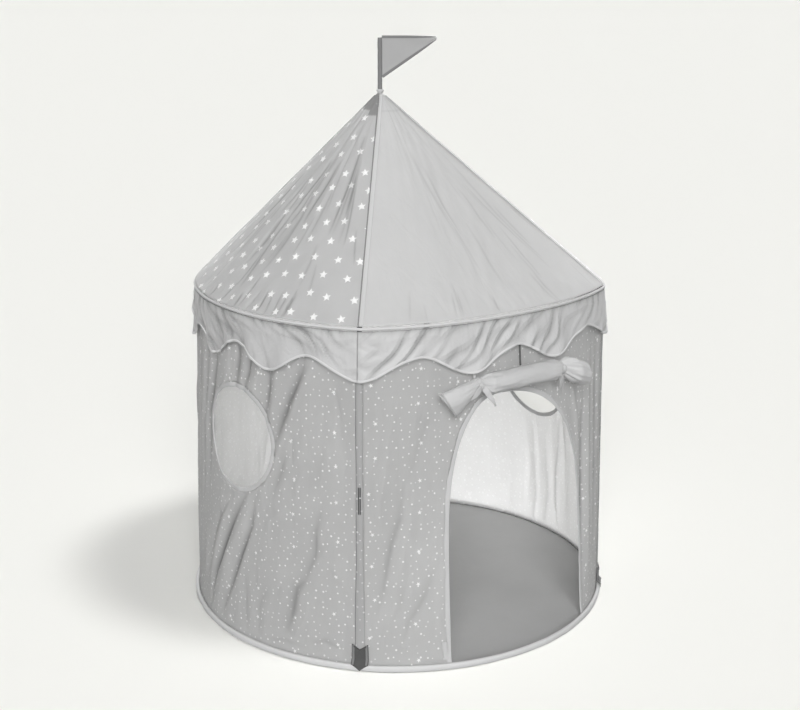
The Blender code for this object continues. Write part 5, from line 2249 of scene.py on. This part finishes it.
    def build(self) -> None:
        """Builds the layers of the roll and its ties."""
        end = self.left + 0.004
        outer = self.skin("door_roll_cloth", end, self.right - 0.008, 0.97, True, 2.0)
        attach(outer, Body.TOP, ["door_roll"])
        inner = ((self.left + 0.001, 0.84), (self.left, 0.70), (self.left + 0.003, 0.54))
        for step, (start, shrink) in enumerate(inner):
            stop = self.knots[0] - 0.012
            layer = self.skin(f"door_roll_layer_{step}", start, stop, shrink, False, 2.0 + step)
            attach(layer, Body.TOP)
        section = pad_section(0.0070, 0.0020)
        for rim, start, shrink in (("rim", end, 0.97), ("inner_rim", *inner[0])):
            line = [self.surface(start, 2 * math.pi * i / 72, shrink) for i in range(72)]
            middle, _, _ = self.section(start)
            facing = [(point - middle).normalized() for point in line]
            tape = tape_along(f"door_roll_{rim}", line, facing, section, TAPE, True)
            attach(tape, Body.TOP)
        self.bow("left", self.knots[0], ((0.030, 0.046, 0.013), (-0.030, 0.012, 0.013)))
        self.bow("right", self.knots[1], ((-0.014, 0.041, 0.020), (0.007, 0.060, 0.005)))
        self.head_tape()

    def bow(self, side: str, across: float, tails: Sequence[tuple[float, float, float]]) -> None:
        """A band round the roll's neck, its knot, its tails and the ribbon that it hangs from.

        Args:
            side: Which of the two it is.
            across: Its place along the roll.
            tails: How far aside and down each tail runs, and how wide it is.
        """
        name = f"door_tie_{side}"
        middle, radius, outwards = self.section(across)
        ahead, _, _ = self.section(across + 0.004)
        tangent = (ahead - middle).normalized()
        upright = Vector((0, 0, 1))
        reach = radius + 0.0011
        line = [
            middle + outwards * (reach * math.cos(turn)) + upright * (reach * math.sin(turn))
            for turn in (2 * math.pi * k / 40 for k in range(40))
        ]
        facing = [(point - middle).normalized() for point in line]
        section = pad_section(self.tie_width, self.tie)
        band = tape_along(f"{name}_band", line, facing, section, TAPE, True)
        attach(band, Body.TOP, [name])
        front = middle + outwards * (radius + 0.0035)
        line = []
        for k in range(9):
            turn = math.pi * (k / 8 - 0.5)
            line.append(front + upright * (0.0075 * math.sin(turn)) + outwards * (0.0022 * math.cos(turn)))
        knot = tape_along(
            f"{name}_knot",
            line,
            [outwards] * len(line),
            pad_section(0.0125, 0.0065, 0.8),
            TAPE,
            scale=lambda share: 0.35 + 0.65 * math.sin(math.pi * min(max(share, 0.02), 0.98)),
        )
        pieces = [attach(knot, Body.TOP)]
        for index, (aside, down, width) in enumerate(tails):
            line, facing = [], []
            for k in range(15):
                share = k / 14
                # The tail lies on the roll, and hangs free below it
                here, wide, away = self.section(across + aside * share)
                fall = down * share**1.25
                rim = wide + 0.0045 + 0.0016 * index
                reach = math.sqrt(max(rim * rim - fall * fall, (0.72 * wide) ** 2))
                reach += 0.0035 * math.sin(math.pi * share)
                line.append(here + away * reach - upright * fall)
                facing.append((outwards + tangent * (0.15 * math.sin(3 * share))).normalized())
            tail = tape_along(
                f"{name}_tail_{index}",
                line,
                facing,
                pad_section(width, 0.0013),
                TAPE,
                scale=lambda share: 0.35 + 0.65 * math.sin(math.pi * min(share * 1.15, 1.0) ** 0.9) ** 0.7,
            )
            pieces.append(attach(tail, Body.TOP))
        degrees = math.degrees(math.atan2(middle.y, middle.x))
        line = []
        for k in range(13):
            height = middle.z + (SHAPE.ring - self.tape_end - middle.z) * k / 12
            line.append(polar(SHAPE.wall(degrees, height) + 0.0022, degrees, height))
        section = pad_section(0.0065, 0.0011)
        ribbon = tape_along(f"{name}_ribbon", line, [outwards] * len(line), section, TAPE)
        pieces.append(attach(ribbon, Body.TOP))

    def head_tape(self) -> None:
        """The dark tape down the middle of the door's head, behind the roll."""
        line, facing = [], []
        for k in range(13):
            height = self.tape_low + (SHAPE.ring - self.tape_end - self.tape_low) * k / 12
            degrees = SHAPE.angle_of(self.tape_at, height)
            line.append(polar(SHAPE.wall(degrees, height) + 0.0019, degrees, height))
            facing.append(polar(1.0, degrees, 0.0))
        tape = tape_along("door_head_tape", line, facing, pad_section(0.0052, 0.0009), DARK_TAPE)
        attach(tape, Body.TOP)


@dataclass
class Flag:
    """The pennant and the sleeve that turns on the stick. The pennant's tip is cut off by the blunt."""

    azimuth: float = -35.5
    lift: float = 0.0012
    sleeve_radius: float = 0.0052
    sleeve_length: float = 0.1245
    length: float = 0.125
    depth: float = 0.086
    cloth: float = 0.0008
    wave: float = 0.004
    binding: float = 0.0064
    blunt: float = 0.985
    hang: float = 0.0006
    edge: float = 0.0018

    def place(self, out: float, aside: float, up: float) -> Vector:
        """Puts a point of the flag's own frame in place.

        Args:
            out: Its distance out from the stick.
            aside: Its distance to the side.
            up: Its height.

        Returns:
            The point.
        """
        turn = Matrix.Rotation(math.radians(self.azimuth), 4, "Z")
        x, y, z = SHAPE.apex
        return Vector((x, y, z + self.lift)) + turn @ Vector((out, aside, up))

    def pennant(self, u: float, v: float) -> Vector:
        """A point of the pennant.

        Args:
            u: The share of the way from the sleeve to the tip.
            v: The share of the way from its lower edge to its top one.

        Returns:
            The point.
        """
        wave = self.wave * math.sin(2 * math.pi * u) * u + 0.0008 * math.sin(9 * u + 5 * v) * u
        up = self.sleeve_length - self.hang - self.depth * (1.0 - u * self.blunt) * (1.0 - v)
        return self.place(self.sleeve_radius * 0.9 + self.length * u, wave, up)

    def build(self) -> None:
        """Builds the pennant, its bindings and the sleeve."""
        columns, rows = 44, 26
        points, flat = [], []
        for j in range(rows + 1):
            for i in range(columns + 1):
                u, v = i / columns, j / rows
                points.append(self.pennant(u, v))
                flat.append((self.length * u, -self.depth * (1.0 - u * self.blunt) * (1 - v)))
        faces = grid_faces(rows, columns)
        pennant = cloth_object(
            "flag_pennant", points, faces, flat, FLAG_CLOTH, thickness=self.cloth, offset=0.0
        )
        attach(pennant, Body.FLAG, ["flag"])
        out, aside = (self.place(*way, 0) - self.place(0, 0, 0) for way in ((1, 0), (0, 1)))
        for name, v, shift in (("top", 1.0, self.edge), ("lower", 0.0, -self.edge)):
            line = [self.pennant(u, v) for u in np.linspace(0.0, self.blunt, 40)]
            tape = tape_along(
                f"flag_binding_{name}",
                line,
                [aside] * len(line),
                pad_section(self.binding, 0.0022),
                DARK_BINDING_AND_SEAM_SHADOW,
                shift=shift,
                scale=lambda share: 1.0 - 0.72 * share**4,
            )
            attach(tape, Body.FLAG)
        inset = 0.0002
        rises = [inset + (self.sleeve_length - 2 * inset) * k / 39 for k in range(40)]
        sleeve = swept(
            "flag_sleeve",
            [self.place(0.0, 0.0, rise) for rise in rises],
            [out] * len(rises),
            [aside] * len(rises),
            pad_section(2 * self.sleeve_radius, 2 * self.sleeve_radius, 1.0, 1.0, 24),
            DARK_BINDING_AND_SEAM_SHADOW,
            False,
            lambda share: 1.0 + 0.02 * math.sin(31 * share) - 0.10 * max(share - 0.97, 0.0) / 0.03,
        )
        attach(sleeve, Body.FLAG)


@dataclass
class Frame:
    """The rigid pieces: rods, wires and mouldings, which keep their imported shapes."""

    rods: tuple[str, ...] = ("lower_rod", "upper_rod", "roof_pole", "flag_stick")
    wires: tuple[str, ...] = ("bottom_hoop", "top_hoop")
    ends: tuple[str, ...] = ("foot_cap", "top_connector", "apex_hub")
    knees: tuple[str, ...] = ("knee_fork", "knee_tongue", "top_eye")

    def build(self) -> None:
        """Gives every rigid piece its finish."""
        mouldings = self.ends + self.knees
        groups = ((self.rods, FIBRE_ROD), (self.wires, SPRING_WIRE), (mouldings, BLACK_NYLON))
        for names, finish in groups:
            dressed = 0
            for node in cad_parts:
                if node.startswith(names):
                    obj = bpy.data.objects[node]
                    for slot in obj.material_slots:
                        slot.material = finish.build()
                    if not obj.material_slots:
                        obj.data.materials.append(finish.build())
                    dressed += 1
            LOG.info("%s: %d pieces", finish.name, dressed)


class Lit(Enum):
    """What a lamp's light reaches."""

    ALL = "all"
    TENT = "EXCLUDE"
    FLOOR = "INCLUDE"


@dataclass(frozen=True)
class Lamp:
    """A far lamp: where it stands in degrees, how bright and how wide it is, and what it lights."""

    name: str
    azimuth: float
    height: float
    strength: float
    width: float
    lights: Lit = Lit.ALL

    def build(self, ground: Object) -> None:
        """Places the lamp.

        Args:
            ground: The studio's floor.
        """
        lamp = bpy.data.lights.new(self.name, "SUN")
        lamp.energy, lamp.angle = self.strength, math.radians(self.width)
        placed = link(bpy.data.objects.new(self.name, lamp))
        height = math.radians(self.height)
        aim = polar(math.cos(height), self.azimuth, math.sin(height))
        placed.rotation_euler = aim.to_track_quat("Z", "Y").to_euler()
        if self.lights is not Lit.ALL:
            chosen = bpy.data.collections.new(f"{self.name}_receivers")
            chosen.objects.link(ground)
            placed.light_linking.receiver_collection = chosen
            chosen.collection_objects[0].light_linking.link_state = self.lights.value


@dataclass
class Studio:
    """The camera, the lamps and the pale floor."""

    eye: tuple[float, float, float] = (-1.8005, -2.5242, 1.4463)
    tilt: float = 15.63
    heading: float = -35.594
    lens: float = 59.474
    backdrop: str = "#F3F3EF"
    bounce: str = "#767676"
    sky: float = 0.16
    floor_reach: float = 300.0
    floor_gap: float = 0.0004
    lamps: tuple[Lamp, ...] = (
        Lamp("key", -124.0, 25.0, 2.72, 34.0),
        Lamp("floor_fill", -126.0, 27.0, 0.87, 20.0, Lit.FLOOR),
        Lamp("floor_light", -56.0, 64.0, 1.18, 13.0, Lit.FLOOR),
        Lamp("back_light", 46.0, 20.0, 5.00, 40.0, Lit.TENT),
    )

    def build(self) -> None:
        """Sets up the studio."""
        scene = bpy.context.scene
        data = bpy.data.cameras.new("camera")
        data.lens, data.sensor_width, data.sensor_fit = self.lens, 36.0, "HORIZONTAL"
        data.clip_end = 1000.0
        camera = link(bpy.data.objects.new("camera", data))
        camera.location = self.eye
        camera.rotation_euler = (math.radians(90 - self.tilt), 0.0, math.radians(self.heading))
        scene.camera = camera
        scene.view_settings.view_transform = "Standard"
        self.sky_light()
        ground = self.floor()
        for lamp in self.lamps:
            lamp.build(ground)

    def sky_light(self) -> None:
        """The even light from all sides, with the backdrop's colour where it is looked at."""
        world = bpy.data.worlds.new("studio")
        world.use_nodes = True
        bpy.context.scene.world = world
        tree = world.node_tree
        tree.nodes.clear()
        seen = seen_directly(tree)
        white = {"Color": (1.0, 1.0, 1.0, 1.0), "Strength": self.sky}
        light = add_node(tree, "Background", {}, white)
        pale = {"Color": linear(self.backdrop), "Strength": 1.0}
        shown = add_node(tree, "Background", {}, pale)
        mixed = add_node(tree, "MixShader", {}, {0: seen, 1: light, 2: shown})
        add_node(tree, "OutputWorld", {}, {0: mixed})

    def floor(self) -> Object:
        """A wide matt floor that keeps the tent's shadow, and throws little light back up.

        Returns:
            The floor.
        """
        mesh = bpy.data.meshes.new("studio_floor")
        side = self.floor_reach
        corners = [(-side, -side, 0), (side, -side, 0), (side, side, 0), (-side, side, 0)]
        mesh.from_pydata(corners, [], [(0, 1, 2, 3)])
        made, tree, shader = new_material(STUDIO_FLOOR)
        shader.inputs["Base Color"].default_value = linear(self.backdrop)
        shader.inputs["Roughness"].default_value = 1.0
        shader.inputs["Specular IOR Level"].default_value = 0.0
        dim = add_node(tree, "BsdfDiffuse", {}, {"Color": linear(self.bounce)})
        mixed = add_node(tree, "MixShader", {}, {0: seen_directly(tree), 1: dim, 2: shader})
        tree.links.new(mixed.outputs[0], tree.nodes["Material Output"].inputs["Surface"])
        mesh.materials.append(made)
        ground = link(bpy.data.objects.new("ground", mesh))
        ground.location.z = -self.floor_gap
        return ground


def seen_directly(tree: NodeTree) -> Node:
    """Nodes that are 1 for rays from the eye, in a mirror or through glass.

    Args:
        tree: The node tree.

    Returns:
        The last node.
    """
    path = add_node(tree, "LightPath", {}, {}).outputs
    seen: Node | NodeSocket = path["Is Camera Ray"]
    for ray in ("Is Glossy Ray", "Is Transmission Ray"):
        seen = add_node(tree, "Math", {"operation": "MAXIMUM"}, {0: seen, 1: path[ray]})
    return seen


def main() -> None:
    """Builds the studio and the tent."""
    logging.basicConfig(level=logging.INFO, format="%(name)s: %(message)s")
    Studio().build()
    Frame().build()
    FloorAndHem().build()
    Walls().build()
    for corner in Corner:
        FootPocket(corner).build()
    Ring().build()
    Roof().build()
    DoorRoll().build()
    Flag().build()


if __name__ == "__main__":
    main()
